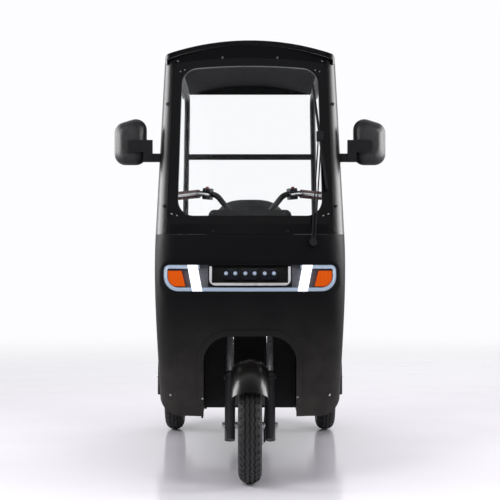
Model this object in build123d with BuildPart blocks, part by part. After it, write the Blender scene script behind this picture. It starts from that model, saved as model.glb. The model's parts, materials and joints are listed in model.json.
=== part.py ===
from build123d import *
import os
from functools import cache
from math import cos, radians, sin, sqrt

# A three-wheeled electric runabout with a roof and a windscreen. Millimetres, +Z up,
# the nose towards -Y. The origin is on the floor under the middle of the vehicle.
# Left and right are as seen from the front, so left is towards -X.

# Driving dimensions
tyre_diameter = 415
tyre_width = 84
rim_diameter = 254
wheelbase = 1520
rear_track = 700
rear_overhang = 419.5
cowl_half_width = 350
apron_half_width = 326
roof_half_width = 325
apron_height = 240
belt_height = 896
roof_crown_height = 1638
floor_top = 318
seat_height = 640
rake_angle = 24
skin = 5
fit_gap = 0.3
seam_gap = 0.5
overrun = 60

tyre_radius = tyre_diameter / 2
rim_radius = rim_diameter / 2
overall_length = tyre_radius + wheelbase + rear_overhang
front_axle_y = tyre_radius - overall_length / 2
rear_axle_y = front_axle_y + wheelbase
rear_end_y = overall_length / 2
axle_height = tyre_radius
rake_sin = sin(radians(rake_angle))
rake_cos = cos(radians(rake_angle))

os.makedirs("parts", exist_ok=True)


def save(piece, name):
    """Labels one finished piece and writes it to its own file."""
    piece.label = name
    export_step(piece, f"parts/{name}.step")


def front_plane(y):
    """A plane seen from the front: its x is X, its y is Z and its normal is -Y."""
    return Plane(origin=(0, y, 0), x_dir=(1, 0, 0), z_dir=(0, -1, 0))


def front_prism(outline, front_y, back_y):
    """A front-view outline carried straight back from one y to another."""
    with BuildPart() as prism:
        with BuildSketch(front_plane(front_y)):
            add(outline)
        extrude(amount=front_y - back_y)
    return prism.part


def bent_tube(points, bend_radii, tube_radius):
    """A round bar that follows straight runs joined by bends."""
    with BuildPart() as tube:
        with BuildLine() as route:
            FilletPolyline(*points, radius=bend_radii)
        with BuildSketch(Plane(origin=route.line @ 0, z_dir=route.line % 0)):
            Circle(tube_radius)
        sweep(path=route.line)
    return tube.part


def plan_outline(half_width, front_y, bow, corner, back_y):
    """A horizontal section of the body: a bowed front between two straight sides."""
    side_y = front_y + bow
    with BuildSketch() as outline:
        with BuildLine():
            ThreePointArc((-half_width, side_y), (0, front_y), (half_width, side_y))
            Polyline((half_width, side_y), (half_width, back_y),
                     (-half_width, back_y), (-half_width, side_y))
        make_face()
        fillet(outline.vertices().sort_by(Axis.Y)[:2], corner)
    return outline.sketch


# Front cowl: plan sections from the apron's foot to the belt line
nose_foot = 8
nose_arch = 30
nose_lamp = 44
nose_belt = -20
arch_section_height = 480
lamp_section_height = 700
arch_section_half_width = 338
lamp_section_half_width = 348
bow_foot = 40
bow_belt = 58
corner_foot = 85
corner_belt = 100
cowl_tail_setback = 470
cowl_tail_y = front_axle_y + cowl_tail_setback
# columns: height, half width, nose ahead of the front axle, bow, corner radius
cowl_sections = [
    (apron_height, apron_half_width, nose_foot, bow_foot, corner_foot),
    (arch_section_height, arch_section_half_width, nose_arch, bow_foot, corner_foot),
    (lamp_section_height, lamp_section_half_width, nose_lamp, bow_belt, corner_belt),
    (belt_height, cowl_half_width, nose_belt, bow_belt, corner_belt),
]
foot_corner = 80
foot_relief = 1.5
cowl_edge_belt_setback = 300
cowl_edge_belt_y = front_axle_y + cowl_edge_belt_setback
cowl_edge_knee_setback = 305
cowl_edge_knee_y = front_axle_y + cowl_edge_knee_setback
cowl_edge_foot_setback = 430
cowl_edge_foot_y = front_axle_y + cowl_edge_foot_setback
cowl_knee_height = 560
cowl_foot_height = 330


@cache
def cowl_block(inset, tail_y=cowl_tail_y):
    """The cowl's outer form as a closed block, drawn in by an even inset."""
    with BuildPart() as block:
        for height, half_width, nose, bow, corner in cowl_sections:
            with BuildSketch(Plane.XY.offset(height)):
                add(plan_outline(half_width - inset, front_axle_y - nose + inset,
                                 bow, corner - inset, tail_y))
        loft()
        with BuildSketch(front_plane(tail_y)):
            with BuildLine():
                foot_x = apron_half_width + foot_relief - inset
                shoulder_x = arch_section_half_width + 2 * foot_relief - inset
                far_x = cowl_half_width + overrun
                top = belt_height + overrun
                Polyline((-far_x, top), (-far_x, arch_section_height),
                         (-shoulder_x, arch_section_height), (-foot_x, apron_height),
                         (foot_x, apron_height), (shoulder_x, arch_section_height),
                         (far_x, arch_section_height), (far_x, top), close=True)
            make_face()
            fillet(vertices().group_by(Axis.Y)[0], foot_corner - inset)
        extrude(amount=wheelbase / 2, mode=Mode.INTERSECT)
    return block.part


# Wheel arch in the apron
arch_half_width = 167
arch_height = 530
arch_corner = 95
arch_ridge_width = 22
arch_ridge_proud = 4
arch_depth_setback = 170
arch_depth_y = front_axle_y + arch_depth_setback


def arch_outline(grow):
    """The wheel arch in front view, open at its foot."""
    with BuildSketch() as outline:
        with BuildLine():
            half = arch_half_width + grow
            Polyline((-half, apron_height - overrun), (-half, arch_height + grow),
                     (half, arch_height + grow), (half, apron_height - overrun),
                     close=True)
        make_face()
        fillet(outline.vertices().sort_by(Axis.Y)[2:], arch_corner + grow)
    return outline.sketch


# Lamp band across the nose
band_half_width = 313
band_foot = 690
band_top = 786
band_foot_corner = 55
band_top_corner = 20
tray_depth = 22
tray_floor = 4
tray_flange = 9
nose_front_y = front_axle_y - nose_lamp - overrun
nose_back_setback = 170
nose_back_y = front_axle_y + nose_back_setback


def band_outline(grow):
    """The lamp band in front view: small top corners and large bottom ones."""
    with BuildSketch() as outline:
        with BuildLine():
            half = band_half_width + grow
            Polyline((-half, band_foot - grow), (-half, band_top + grow),
                     (half, band_top + grow), (half, band_foot - grow), close=True)
        make_face()
        fillet(outline.vertices().sort_by(Axis.Y)[2:], band_top_corner + grow)
        fillet(outline.vertices().sort_by(Axis.Y)[:2], band_foot_corner + grow)
    return outline.sketch


def nose_slice(outline, outer_inset, inner_inset):
    """What a front-view outline holds between two depths under the nose's surface."""
    with BuildPart() as piece:
        add(front_prism(outline, nose_front_y, nose_back_y))
        add(cowl_block(outer_inset), mode=Mode.INTERSECT)
        add(cowl_block(inner_inset), mode=Mode.SUBTRACT)
    return piece.part


with BuildPart() as front_cowl:
    add(cowl_block(0))
    add(cowl_block(skin, cowl_tail_y + overrun), mode=Mode.SUBTRACT)
    with BuildSketch(Plane.YZ) as side_view:
        with BuildLine():
            ahead = front_axle_y - nose_lamp - overrun
            Polyline((cowl_edge_foot_y, apron_height), (ahead, apron_height),
                     (ahead, belt_height), (cowl_edge_belt_y, belt_height),
                     (cowl_edge_knee_y, cowl_knee_height))
            TangentArc((cowl_edge_knee_y, cowl_knee_height),
                       (cowl_edge_foot_y, cowl_foot_height),
                       tangent=(cowl_edge_knee_y - cowl_edge_belt_y,
                                cowl_knee_height - belt_height))
            Line((cowl_edge_foot_y, cowl_foot_height), (cowl_edge_foot_y, apron_height))
        make_face()
    extrude(amount=cowl_half_width + overrun, both=True, mode=Mode.INTERSECT)
    # The soft ridge that runs round the arch, then the arch and the lamp band's cut-out
    with BuildPart(mode=Mode.PRIVATE) as ridge:
        add(front_prism(arch_outline(arch_ridge_width), nose_front_y, arch_depth_y))
        add(cowl_block(-arch_ridge_proud), mode=Mode.INTERSECT)
        add(cowl_block(skin), mode=Mode.SUBTRACT)
    add(ridge.part)
    add(front_prism(arch_outline(0), nose_front_y, arch_depth_y), mode=Mode.SUBTRACT)
    add(front_prism(band_outline(0), nose_front_y, nose_back_y), mode=Mode.SUBTRACT)
save(front_cowl.part, "front_cowl")

with BuildPart() as lamp_panel:
    add(nose_slice(band_outline(tray_flange), skin + fit_gap, tray_depth + tray_floor))
    add(front_prism(band_outline(0), nose_front_y, nose_back_y)
        & cowl_block(-skin) - cowl_block(tray_depth), mode=Mode.SUBTRACT)
save(lamp_panel.part, "lamp_panel")

# Headlamps: two slanted blocks, with a light guide that runs round the band's ends
guide_width = 13
guide_edge = 1
guide_reveal = 2
guide_open_half_width = 182
lens_back = tray_depth - fit_gap
block_top_inner = 190
block_foot_inner = 171
block_width = 36
block_gap = 1
block_reveal = 1
band_middle = (band_foot + band_top) / 2


def lamp_block_outline(side, grow):
    """One slanted headlamp block in front view."""
    with BuildSketch() as outline:
        with BuildLine():
            top_in = block_top_inner - grow
            foot_in = block_foot_inner - grow
            width = block_width + 2 * grow
            Polyline((side * top_in, band_top + grow), (side * (top_in + width),
                     band_top + grow), (side * (foot_in + width), band_foot - grow),
                     (side * foot_in, band_foot - grow), close=True)
        make_face()
    return outline.sketch


with BuildPart() as light_guides:
    add(nose_slice(band_outline(-guide_edge), guide_reveal, lens_back))
    add(front_prism(band_outline(-guide_edge - guide_width), nose_front_y, nose_back_y),
        mode=Mode.SUBTRACT)
    with BuildSketch(front_plane(nose_front_y)):
        with Locations((0, band_top)):
            Rectangle(2 * guide_open_half_width, band_top - band_foot)
        for side in (-1, 1):
            add(lamp_block_outline(side, block_gap))
    extrude(amount=nose_front_y - nose_back_y, mode=Mode.SUBTRACT)
save(light_guides.part, "light_guides")

# Light bar: three lens units in a bright U-shaped bezel
bar_half_width = 146
bar_foot = 712
bar_top = 780
bar_corner = 22
bezel_width = 9
bezel_reveal = 6
lens_spacing = 68
lens_width = 60
lens_height = 38
lens_corner = 12
lens_centre_height = 752
lens_reveal = 10

with BuildPart() as headlamp_lenses:
    for side in (-1, 1):
        add(nose_slice(lamp_block_outline(side, 0)
                       & band_outline(-guide_edge), block_reveal, lens_back))
    for index in (-1, 0, 1):
        with BuildSketch() as lens_outline:
            with Locations((index * lens_spacing, lens_centre_height)):
                RectangleRounded(lens_width, lens_height, lens_corner)
        add(nose_slice(lens_outline.sketch, lens_reveal, lens_back))
save(headlamp_lenses.part, "headlamp_lenses")

with BuildPart() as light_bar_bezel:
    with BuildSketch() as bezel_outline:
        with BuildLine():
            Polyline((-bar_half_width, bar_foot), (-bar_half_width, bar_top),
                     (bar_half_width, bar_top), (bar_half_width, bar_foot), close=True)
        make_face()
        fillet(bezel_outline.vertices().sort_by(Axis.Y)[:2], bar_corner)
        with BuildLine():
            inner = bar_half_width - bezel_width
            Polyline((-inner, bar_foot + bezel_width), (-inner, bar_top + overrun),
                     (inner, bar_top + overrun), (inner, bar_foot + bezel_width),
                     close=True)
        make_face(mode=Mode.SUBTRACT)
    add(nose_slice(bezel_outline.sketch, bezel_reveal, lens_back))
save(light_bar_bezel.part, "light_bar_bezel")

# Front turn lamps, inside the light guide's rounded ends
turn_inset = guide_edge + guide_width + guide_reveal
turn_top = 764
turn_foot = 708
turn_inner = 247
turn_slant = 14
turn_reveal = 5

with BuildPart() as front_turn_lamps:
    for side in (-1, 1):
        with BuildSketch() as turn_outline:
            with BuildLine():
                Polyline((side * (turn_inner - turn_slant), turn_foot),
                         (side * turn_inner, turn_top),
                         (side * band_half_width, turn_top),
                         (side * band_half_width, turn_foot), close=True)
            make_face()
            add(band_outline(-turn_inset), mode=Mode.INTERSECT)
        add(nose_slice(turn_outline.sketch, turn_reveal, lens_back))
save(front_turn_lamps.part, "front_turn_lamps")

# Windscreen surround: raked pillars, a foot rail and a header in one moulding
surround_foot = belt_height + seam_gap
surround_top = 1650
screen_rise = surround_top - belt_height
screen_lean = 282
surround_wall = 32
surround_bow_top = 32
surround_corner_top = 62
pillar_back_foot_setback = 290
pillar_back_foot_y = front_axle_y + pillar_back_foot_setback
pillar_back_top_setback = 450
pillar_back_top_y = front_axle_y + pillar_back_top_setback
roof_camber = 55
roof_thickness = 18
camber_radius = (roof_half_width ** 2 + roof_camber ** 2) / (2 * roof_camber)
belt_front_y = front_axle_y - nose_belt
screen_front_y = belt_front_y - overrun
screen_back_y = pillar_back_top_y + overrun


@cache
def surround_block(inset, tail=0):
    """The upper body's outer form as a closed block, drawn in by an even inset."""
    with BuildPart() as block:
        with BuildSketch(Plane.XY.offset(surround_foot)):
            add(plan_outline(cowl_half_width - inset, belt_front_y + inset,
                             bow_belt, corner_belt - inset, pillar_back_foot_y + tail))
        with BuildSketch(Plane.XY.offset(surround_top)):
            add(plan_outline(roof_half_width - inset, belt_front_y + screen_lean + inset,
                             surround_bow_top, surround_corner_top - inset,
                             pillar_back_top_y + tail))
        loft(ruled=True)
    return block.part


def camber_drop(half_width, depth):
    """How far the roof's arch, at a depth under its top, lies below its crown."""
    return camber_radius - sqrt((camber_radius - depth) ** 2 - half_width ** 2)


@cache
def surround_form(grow):
    """The surround's outer form, its top trimmed to the underside of the roof."""
    with BuildPart() as form:
        add(surround_block(-grow))
        with BuildSketch(front_plane(screen_front_y)):
            with BuildLine():
                depth = roof_thickness + fit_gap - grow
                side_x = cowl_half_width + overrun
                side_z = roof_crown_height - camber_drop(roof_half_width + fit_gap, depth)
                ThreePointArc((-roof_half_width - fit_gap, side_z),
                              (0, roof_crown_height - depth),
                              (roof_half_width + fit_gap, side_z))
                Polyline((roof_half_width + fit_gap, side_z), (side_x, side_z),
                         (side_x, apron_height), (-side_x, apron_height),
                         (-side_x, side_z), (-roof_half_width - fit_gap, side_z))
            make_face()
        extrude(amount=screen_front_y - screen_back_y, mode=Mode.INTERSECT)
    return form.part


def screen_outline(foot, top, foot_half_width, top_half_width, arch, corner):
    """A window in front view: straight sides under an arched top."""
    with BuildSketch() as outline:
        with BuildLine():
            ThreePointArc((-top_half_width, top - arch), (0, top),
                          (top_half_width, top - arch))
            Polyline((top_half_width, top - arch), (foot_half_width, foot),
                     (-foot_half_width, foot), (-top_half_width, top - arch))
        make_face()
        fillet(outline.vertices(), corner)
    return outline.sketch


clear_foot = 964
clear_top = 1537
clear_foot_half_width = 266
clear_top_half_width = 258
clear_arch = 12
clear_corner = 60
glass_foot = 932
glass_top = 1569
glass_foot_half_width = 305
glass_top_half_width = 292
glass_arch = 20
glass_corner = 32
glass_thickness = 5
glass_reveal = 0.5

clear_outline = screen_outline(clear_foot, clear_top, clear_foot_half_width,
                               clear_top_half_width, clear_arch, clear_corner)
glass_outline = screen_outline(glass_foot, glass_top, glass_foot_half_width,
                               glass_top_half_width, glass_arch, glass_corner)
rebate_outline = screen_outline(glass_foot - fit_gap, glass_top + fit_gap,
                                glass_foot_half_width + fit_gap,
                                glass_top_half_width + fit_gap, glass_arch,
                                glass_corner + fit_gap)

with BuildPart() as windscreen_surround:
    add(surround_form(0))
    add(surround_block(surround_wall, overrun), mode=Mode.SUBTRACT)
    add(front_prism(clear_outline, screen_front_y, screen_back_y), mode=Mode.SUBTRACT)
    add(front_prism(rebate_outline, screen_front_y, screen_back_y)
        & surround_block(-skin) - surround_block(glass_reveal + glass_thickness + fit_gap),
        mode=Mode.SUBTRACT)
save(windscreen_surround.part, "windscreen_surround")

with BuildPart() as windscreen:
    add(front_prism(glass_outline, screen_front_y, screen_back_y))
    add(surround_block(glass_reveal), mode=Mode.INTERSECT)
    add(surround_block(glass_reveal + glass_thickness, overrun), mode=Mode.SUBTRACT)
save(windscreen.part, "windscreen")

# Roof: one cambered sheet, bowed from front to back, with a header board at its tail
roof_front_setback = 290
roof_front_y = front_axle_y + roof_front_setback
roof_rear_setback = 1720
roof_rear_y = front_axle_y + roof_rear_setback
roof_middle_y = (roof_front_y + roof_rear_y) / 2
roof_middle_height = 1682
roof_rear_height = 1655
roof_lip = 22
roof_lip_wall = 8
roof_edge_corner = 20
roof_plan_corner = 45
tail_board_foot = 1589
tail_board_wall = 14


def roof_arch(half_width, top_depth, foot_depth):
    """A slice of the roof's camber in cross section, its crown at the origin."""
    with BuildSketch() as outline:
        with BuildLine():
            top_edge = -camber_drop(half_width, top_depth)
            foot_edge = -camber_drop(half_width, foot_depth)
            ThreePointArc((-half_width, top_edge), (0, -top_depth),
                          (half_width, top_edge))
            Line((half_width, top_edge), (half_width, foot_edge))
            ThreePointArc((half_width, foot_edge), (0, -foot_depth),
                          (-half_width, foot_edge))
            Line((-half_width, foot_edge), (-half_width, top_edge))
        make_face()
    return outline.sketch


def roof_plane(front_y, front_height):
    """The cross-section plane at the front of the roof's line."""
    return Plane(origin=(0, front_y, front_height), x_dir=(-1, 0, 0), z_dir=(0, 1, 0))


with BuildPart() as roof_panel:
    with BuildLine() as roof_line:
        ThreePointArc((0, roof_front_y, roof_crown_height),
                      (0, roof_middle_y, roof_middle_height),
                      (0, roof_rear_y, roof_rear_height))
    with BuildSketch(roof_plane(roof_front_y, roof_crown_height)) as roof_section:
        add(roof_arch(roof_half_width, 0, roof_thickness))
        for side in (-1, 1):
            lip_top = -camber_drop(roof_half_width, roof_thickness / 2)
            with Locations((side * (roof_half_width - roof_lip_wall / 2),
                            lip_top - roof_lip / 2)):
                Rectangle(roof_lip_wall, roof_lip + roof_thickness / 2)
        corners = roof_section.vertices().group_by(Axis.X)
        fillet([corners[0].sort_by(Axis.Y)[-1], corners[-1].sort_by(Axis.Y)[-1]],
               roof_edge_corner)
    sweep(path=roof_line.line)
    with BuildSketch(Plane.XY):
        with Locations((0, roof_middle_y)):
            RectangleRounded(2 * roof_half_width + skin, roof_rear_y - roof_front_y,
                             roof_plan_corner)
    extrude(amount=roof_middle_height + overrun, mode=Mode.INTERSECT)
    with BuildSketch(front_plane(roof_rear_y - fit_gap)):
        with BuildLine():
            board_half = roof_half_width - roof_plan_corner
            board_drop = camber_drop(board_half, roof_thickness / 2)
            board_crown = roof_rear_height - roof_thickness / 2
            ThreePointArc((-board_half, roof_rear_height - board_drop), (0, board_crown),
                          (board_half, roof_rear_height - board_drop))
            Polyline((board_half, roof_rear_height - board_drop),
                     (board_half, tail_board_foot), (-board_half, tail_board_foot),
                     (-board_half, roof_rear_height - board_drop))
        make_face()
    extrude(amount=tail_board_wall)
    add(surround_form(fit_gap), mode=Mode.SUBTRACT)
save(roof_panel.part, "roof_panel")

liner_half_width = 292
liner_thickness = 7
liner_front_setback = 470
liner_front_y = front_axle_y + liner_front_setback
liner_rear_y = roof_rear_y - tail_board_wall - seam_gap

with BuildPart() as roof_liner:
    with BuildSketch(roof_plane(roof_front_y, roof_crown_height)):
        add(roof_arch(liner_half_width, roof_thickness + fit_gap,
                      roof_thickness + fit_gap + liner_thickness))
    sweep(path=roof_line.line)
    with BuildSketch(Plane.XY):
        with Locations((0, (liner_front_y + liner_rear_y) / 2)):
            Rectangle(2 * roof_half_width, liner_rear_y - liner_front_y)
    extrude(amount=roof_middle_height + overrun, mode=Mode.INTERSECT)
save(roof_liner.part, "roof_liner")

# Canopy frame: side rails under the roof, bent down into the rear posts
frame_tube_radius = 13
rail_half_width = 298
rail_front_height = 1545
rail_rear_height = 1562
rail_rear_setback = 1626
rail_rear_y = front_axle_y + rail_rear_setback
rail_bend = 80
post_foot_half_width = 318
post_foot_setback = 1666
post_foot_y = front_axle_y + post_foot_setback
crossbar_height = 1283
crossbar_radius = 14
deck_top = 560
post_flange_radius = 24
post_flange_height = 5

with BuildPart() as canopy_frame:
    for side in (-1, 1):
        add(bent_tube([(side * rail_half_width, pillar_back_top_y - overrun / 2,
                        rail_front_height),
                       (side * rail_half_width, rail_rear_y, rail_rear_height),
                       (side * post_foot_half_width, post_foot_y, deck_top - skin)],
                      [rail_bend], frame_tube_radius))
        with Locations((side * post_foot_half_width, post_foot_y,
                        deck_top + fit_gap + post_flange_height / 2)):
            Cylinder(post_flange_radius, post_flange_height)
    post_share = (rail_rear_height - crossbar_height) / (rail_rear_height - deck_top)
    crossbar_y = rail_rear_y + (post_foot_y - rail_rear_y) * post_share
    with Locations((0, crossbar_y, crossbar_height)):
        Cylinder(crossbar_radius, 2 * rail_half_width, rotation=(0, 90, 0))
    with Locations((0, post_foot_y, deck_top + fit_gap)):
        Box(4 * post_foot_half_width, 4 * frame_tube_radius, overrun,
            align=(Align.CENTER, Align.CENTER, Align.MAX), mode=Mode.SUBTRACT)
    add(surround_block(0, fit_gap), mode=Mode.SUBTRACT)
save(canopy_frame.part, "canopy_frame")

# Mirrors on flat arms at the pillars
mirror_setback = 276
mirror_y = front_axle_y + mirror_setback
mirror_inner = 393
mirror_outer = 516
mirror_foot = 1162
mirror_top = 1353
mirror_top_drop = 38
mirror_depth = 42
mirror_corner = 42
mirror_edge = 10
mirror_rim = 7
mirror_glass_thickness = 3
arm_centre_height = 1187
arm_height = 32
arm_depth = 14
arm_root = 322
bracket_width = 94
bracket_height = 45
bracket_top = 1254
bracket_post_width = 34
bracket_depth = 18
bracket_inner = 368
mirror_front_y = mirror_y - mirror_depth / 2
mirror_back_y = mirror_y + mirror_depth / 2


def mirror_outline(side, inset):
    """One mirror in front view, its inner side the taller one."""
    with BuildSketch() as outline:
        with BuildLine():
            Polyline((side * (mirror_inner + inset), mirror_foot + inset),
                     (side * (mirror_inner + inset), mirror_top - inset),
                     (side * (mirror_outer - inset), mirror_top - mirror_top_drop - inset),
                     (side * (mirror_outer - inset), mirror_foot + inset), close=True)
        make_face()
        fillet(outline.vertices(), mirror_corner - inset)
    return outline.sketch


with BuildPart() as mirror_housings:
    for side in (-1, 1):
        add(front_prism(mirror_outline(side, 0), mirror_front_y, mirror_back_y))
    fillet(edges().group_by(Axis.Y)[0], mirror_edge)
    for side in (-1, 1):
        add(front_prism(mirror_outline(side, mirror_rim),
                        mirror_back_y - mirror_glass_thickness - fit_gap,
                        mirror_back_y + overrun), mode=Mode.SUBTRACT)
save(mirror_housings.part, "mirror_housings")

with BuildPart() as mirror_glasses:
    for side in (-1, 1):
        add(front_prism(mirror_outline(side, mirror_rim + fit_gap),
                        mirror_back_y - mirror_glass_thickness, mirror_back_y))
save(mirror_glasses.part, "mirror_glasses")

with BuildPart() as mirror_arms:
    for side in (-1, 1):
        with BuildSketch(front_plane(mirror_front_y - bracket_depth)):
            arm_length = bracket_inner + bracket_post_width / 2 - arm_root
            with Locations((side * (arm_root + arm_length / 2), arm_centre_height)):
                Rectangle(arm_length, arm_height)
        extrude(amount=-arm_depth)
        with BuildSketch(front_plane(mirror_front_y - fit_gap)):
            arm_foot = arm_centre_height - arm_height / 2
            with Locations((side * (bracket_inner + bracket_post_width / 2),
                            (arm_foot + bracket_top) / 2)):
                Rectangle(bracket_post_width, bracket_top - arm_foot)
            with Locations((side * (bracket_inner + bracket_width / 2),
                            bracket_top - bracket_height / 2)):
                RectangleRounded(bracket_width, bracket_height, mirror_edge / 2)
        extrude(amount=bracket_depth + skin)
    add(surround_block(-fit_gap), mode=Mode.SUBTRACT)
save(mirror_arms.part, "mirror_arms")

# Wiper: a boss under the belt line, two parallel links and a long blade
wiper_boss_x = 229
wiper_boss_height = 868
wiper_boss_radius = 14
wiper_boss_proud = 16
blade_x = 260
blade_height = 1262
blade_slant = 23
blade_half_length = 200
blade_centre = (blade_x, blade_height)
blade_top = (blade_x - blade_slant, blade_height + blade_half_length)
blade_foot = (blade_x + blade_slant, blade_height - blade_half_length)
blade_width = 9
blade_depth = 12
blade_gap = 4
link_spacing = 11
link_width = 5
link_lift = 20
link_boss_y = belt_front_y - skin
coupler_width = 26
coupler_height = 34
coupler_depth = 14
coupler_lift = 17


def screen_y(x, height, proud):
    """The y of a point that stands proud of the windscreen surround's face."""
    height_share = (height - surround_foot) / (surround_top - surround_foot)
    half_width = cowl_half_width + (roof_half_width - cowl_half_width) * height_share
    bow = bow_belt + (surround_bow_top - bow_belt) * height_share
    radius = (half_width ** 2 + bow ** 2) / (2 * bow)
    front = belt_front_y + screen_lean * height_share
    return front + radius - sqrt(radius ** 2 - x ** 2) - proud


def straight_bar(start, end, width, depth):
    """A rectangular bar from one point to another, its width across the vehicle."""
    along = Vector(*end) - Vector(*start)
    with BuildPart() as bar:
        with BuildSketch(Plane(origin=start, x_dir=(1, 0, -along.X / along.Z),
                               z_dir=along)):
            Rectangle(width, depth)
        extrude(amount=along.length)
    return bar.part


with BuildPart() as wiper:
    with BuildSketch() as boss_outline:
        with Locations((wiper_boss_x, wiper_boss_height)):
            Circle(wiper_boss_radius)
    add(nose_slice(boss_outline.sketch, -wiper_boss_proud, -fit_gap))
    centre_y = screen_y(*blade_centre, link_lift)
    for offset in (-link_spacing / 2, link_spacing / 2):
        add(straight_bar((wiper_boss_x + offset, link_boss_y, wiper_boss_height),
                         (blade_centre[0] + offset, centre_y, blade_centre[1]),
                         link_width, link_width))
    add(straight_bar((blade_top[0], screen_y(*blade_top, blade_gap + blade_depth / 2),
                      blade_top[1]),
                     (blade_foot[0], screen_y(*blade_foot, blade_gap + blade_depth / 2),
                      blade_foot[1]), blade_width, blade_depth))
    coupler_top = blade_height + coupler_height / 2
    coupler_foot = blade_height - coupler_height / 2
    add(straight_bar((blade_x, screen_y(blade_x, coupler_top, coupler_lift), coupler_top),
                     (blade_x, screen_y(blade_x, coupler_foot, coupler_lift), coupler_foot),
                     coupler_width, coupler_depth))
save(wiper.part, "wiper")

# Wheels: spoked rims with a deep well, and rounded tyres
rim_half_width = 33
bead_half_width = 28
rim_flange = 7
bead_rise = 1
rim_wall = 4
rim_well_depth = 17
well_half_width = 15
tyre_bulge_radius = 163
shoulder_half_width = 34
shoulder_radius = 194
spoke_count = 5
spoke_root_width = 40
spoke_tip_width = 26
spoke_thickness = 16
hub_radius = 30
drum_radius = 64
drum_inner = 6
axle_radius = 8
bearing_gap = 0.3
front_hub_left = 40
front_hub_right = 34
well_radius = rim_radius - rim_well_depth


def wheel_plane(x, y):
    """The plane through a wheel's axis: its x is along the axle, its y is radial."""
    return Plane(origin=(x, y, axle_height), x_dir=(1, 0, 0), z_dir=(0, 0, 1))


def build_tyre(x, y, name):
    """One closed tyre that seats on its rim."""
    with BuildPart() as tyre:
        with BuildSketch(wheel_plane(x, y)):
            with BuildLine():
                bead = rim_radius + fit_gap
                bead_top = rim_radius + rim_flange + bead_rise
                Polyline((-bead_half_width, bead_top), (-bead_half_width, bead),
                         (bead_half_width, bead), (bead_half_width, bead_top))
                ThreePointArc((bead_half_width, bead_top),
                              (tyre_width / 2, tyre_bulge_radius),
                              (shoulder_half_width, shoulder_radius))
                ThreePointArc((shoulder_half_width, shoulder_radius), (0, tyre_radius),
                              (-shoulder_half_width, shoulder_radius))
                ThreePointArc((-shoulder_half_width, shoulder_radius),
                              (-tyre_width / 2, tyre_bulge_radius),
                              (-bead_half_width, bead_top))
            make_face()
        revolve(axis=Axis((x, y, axle_height), (1, 0, 0)))
    save(tyre.part, name)


def build_rim(x, y, hub_left, hub_right, drum_side, name):
    """One rim with its well, spokes, hub and brake drum."""
    with BuildPart() as rim:
        with BuildSketch(wheel_plane(x, y)):
            with BuildLine():
                flange = rim_radius + rim_flange
                inner = rim_radius - rim_wall
                Polyline((-rim_half_width, flange), (-bead_half_width - fit_gap, flange),
                         (-bead_half_width - fit_gap, rim_radius),
                         (-well_half_width - rim_wall, rim_radius),
                         (-well_half_width, well_radius), (well_half_width, well_radius),
                         (well_half_width + rim_wall, rim_radius),
                         (bead_half_width + fit_gap, rim_radius),
                         (bead_half_width + fit_gap, flange), (rim_half_width, flange),
                         (rim_half_width, inner), (well_half_width + rim_wall, inner),
                         (well_half_width, well_radius - rim_wall),
                         (-well_half_width, well_radius - rim_wall),
                         (-well_half_width - rim_wall, inner), (-rim_half_width, inner),
                         close=True)
            make_face()
        revolve(axis=Axis((x, y, axle_height), (1, 0, 0)))
        with BuildSketch(Plane(origin=(x - spoke_thickness / 2, y, axle_height),
                               x_dir=(0, 1, 0), z_dir=(1, 0, 0))):
            Circle(drum_radius / 2)
            with PolarLocations(0, spoke_count, start_angle=90):
                with BuildLine():
                    tip = well_radius - rim_wall / 2
                    Polyline((0, -spoke_root_width / 2), (tip, -spoke_tip_width / 2),
                             (tip, spoke_tip_width / 2), (0, spoke_root_width / 2),
                             close=True)
                make_face()
        extrude(amount=spoke_thickness)
        hub_plane = Plane(origin=(x, y, axle_height), x_dir=(0, 1, 0), z_dir=(1, 0, 0))
        with BuildSketch(hub_plane.offset(-hub_left)):
            Circle(hub_radius)
        extrude(amount=hub_left + hub_right)
        drum_length = (hub_right if drum_side > 0 else hub_left) - drum_inner
        with BuildSketch(hub_plane.offset(drum_side * drum_inner)):
            Circle(drum_radius)
        extrude(amount=drum_side * drum_length)
        with BuildSketch(hub_plane.offset(-hub_left - overrun)):
            Circle(axle_radius + bearing_gap)
        extrude(amount=hub_left + hub_right + 2 * overrun, mode=Mode.SUBTRACT)
    save(rim.part, name)


rear_wheel_x = rear_track / 2
rear_hub = 36
build_tyre(0, front_axle_y, "front_tyre")
build_rim(0, front_axle_y, front_hub_left, front_hub_right, 1, "front_rim")
build_tyre(-rear_wheel_x, rear_axle_y, "rear_tyre_left")
build_rim(-rear_wheel_x, rear_axle_y, rear_hub, rear_hub, 1, "rear_rim_left")
build_tyre(rear_wheel_x, rear_axle_y, "rear_tyre_right")
build_rim(rear_wheel_x, rear_axle_y, rear_hub, rear_hub, -1, "rear_rim_right")

# Steering: a raked fork. The plane's z runs up the steering axis and its y runs back.
leg_offset = 30
leg_half_spacing = 72.5
stanchion_radius = 13.5
slider_radius = 19
slider_foot = -55
slider_top = 192
slider_bore_foot = 130
collar_radius = 23
collar_height = 14
yoke_foot = 385
yoke_top = 410
yoke_width = 48
crown_radius = 27
steerer_radius = 14
head_tube_radius = 24
head_tube_foot = yoke_top + seam_gap
head_tube_top = 560
steerer_top = 640
stem_foot = head_tube_top + seam_gap
stem_top = 835
stem_radius = 18
steer_origin = (0, front_axle_y + leg_offset * rake_cos, axle_height - leg_offset * rake_sin)
steer_plane = Plane(origin=steer_origin, x_dir=(1, 0, 0), z_dir=(0, rake_sin, rake_cos))
leg_places = [(-leg_half_spacing, -leg_offset), (leg_half_spacing, -leg_offset)]
axle_line_plane = Plane(origin=(0, front_axle_y, axle_height), x_dir=(0, 1, 0),
                        z_dir=(1, 0, 0))

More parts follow.
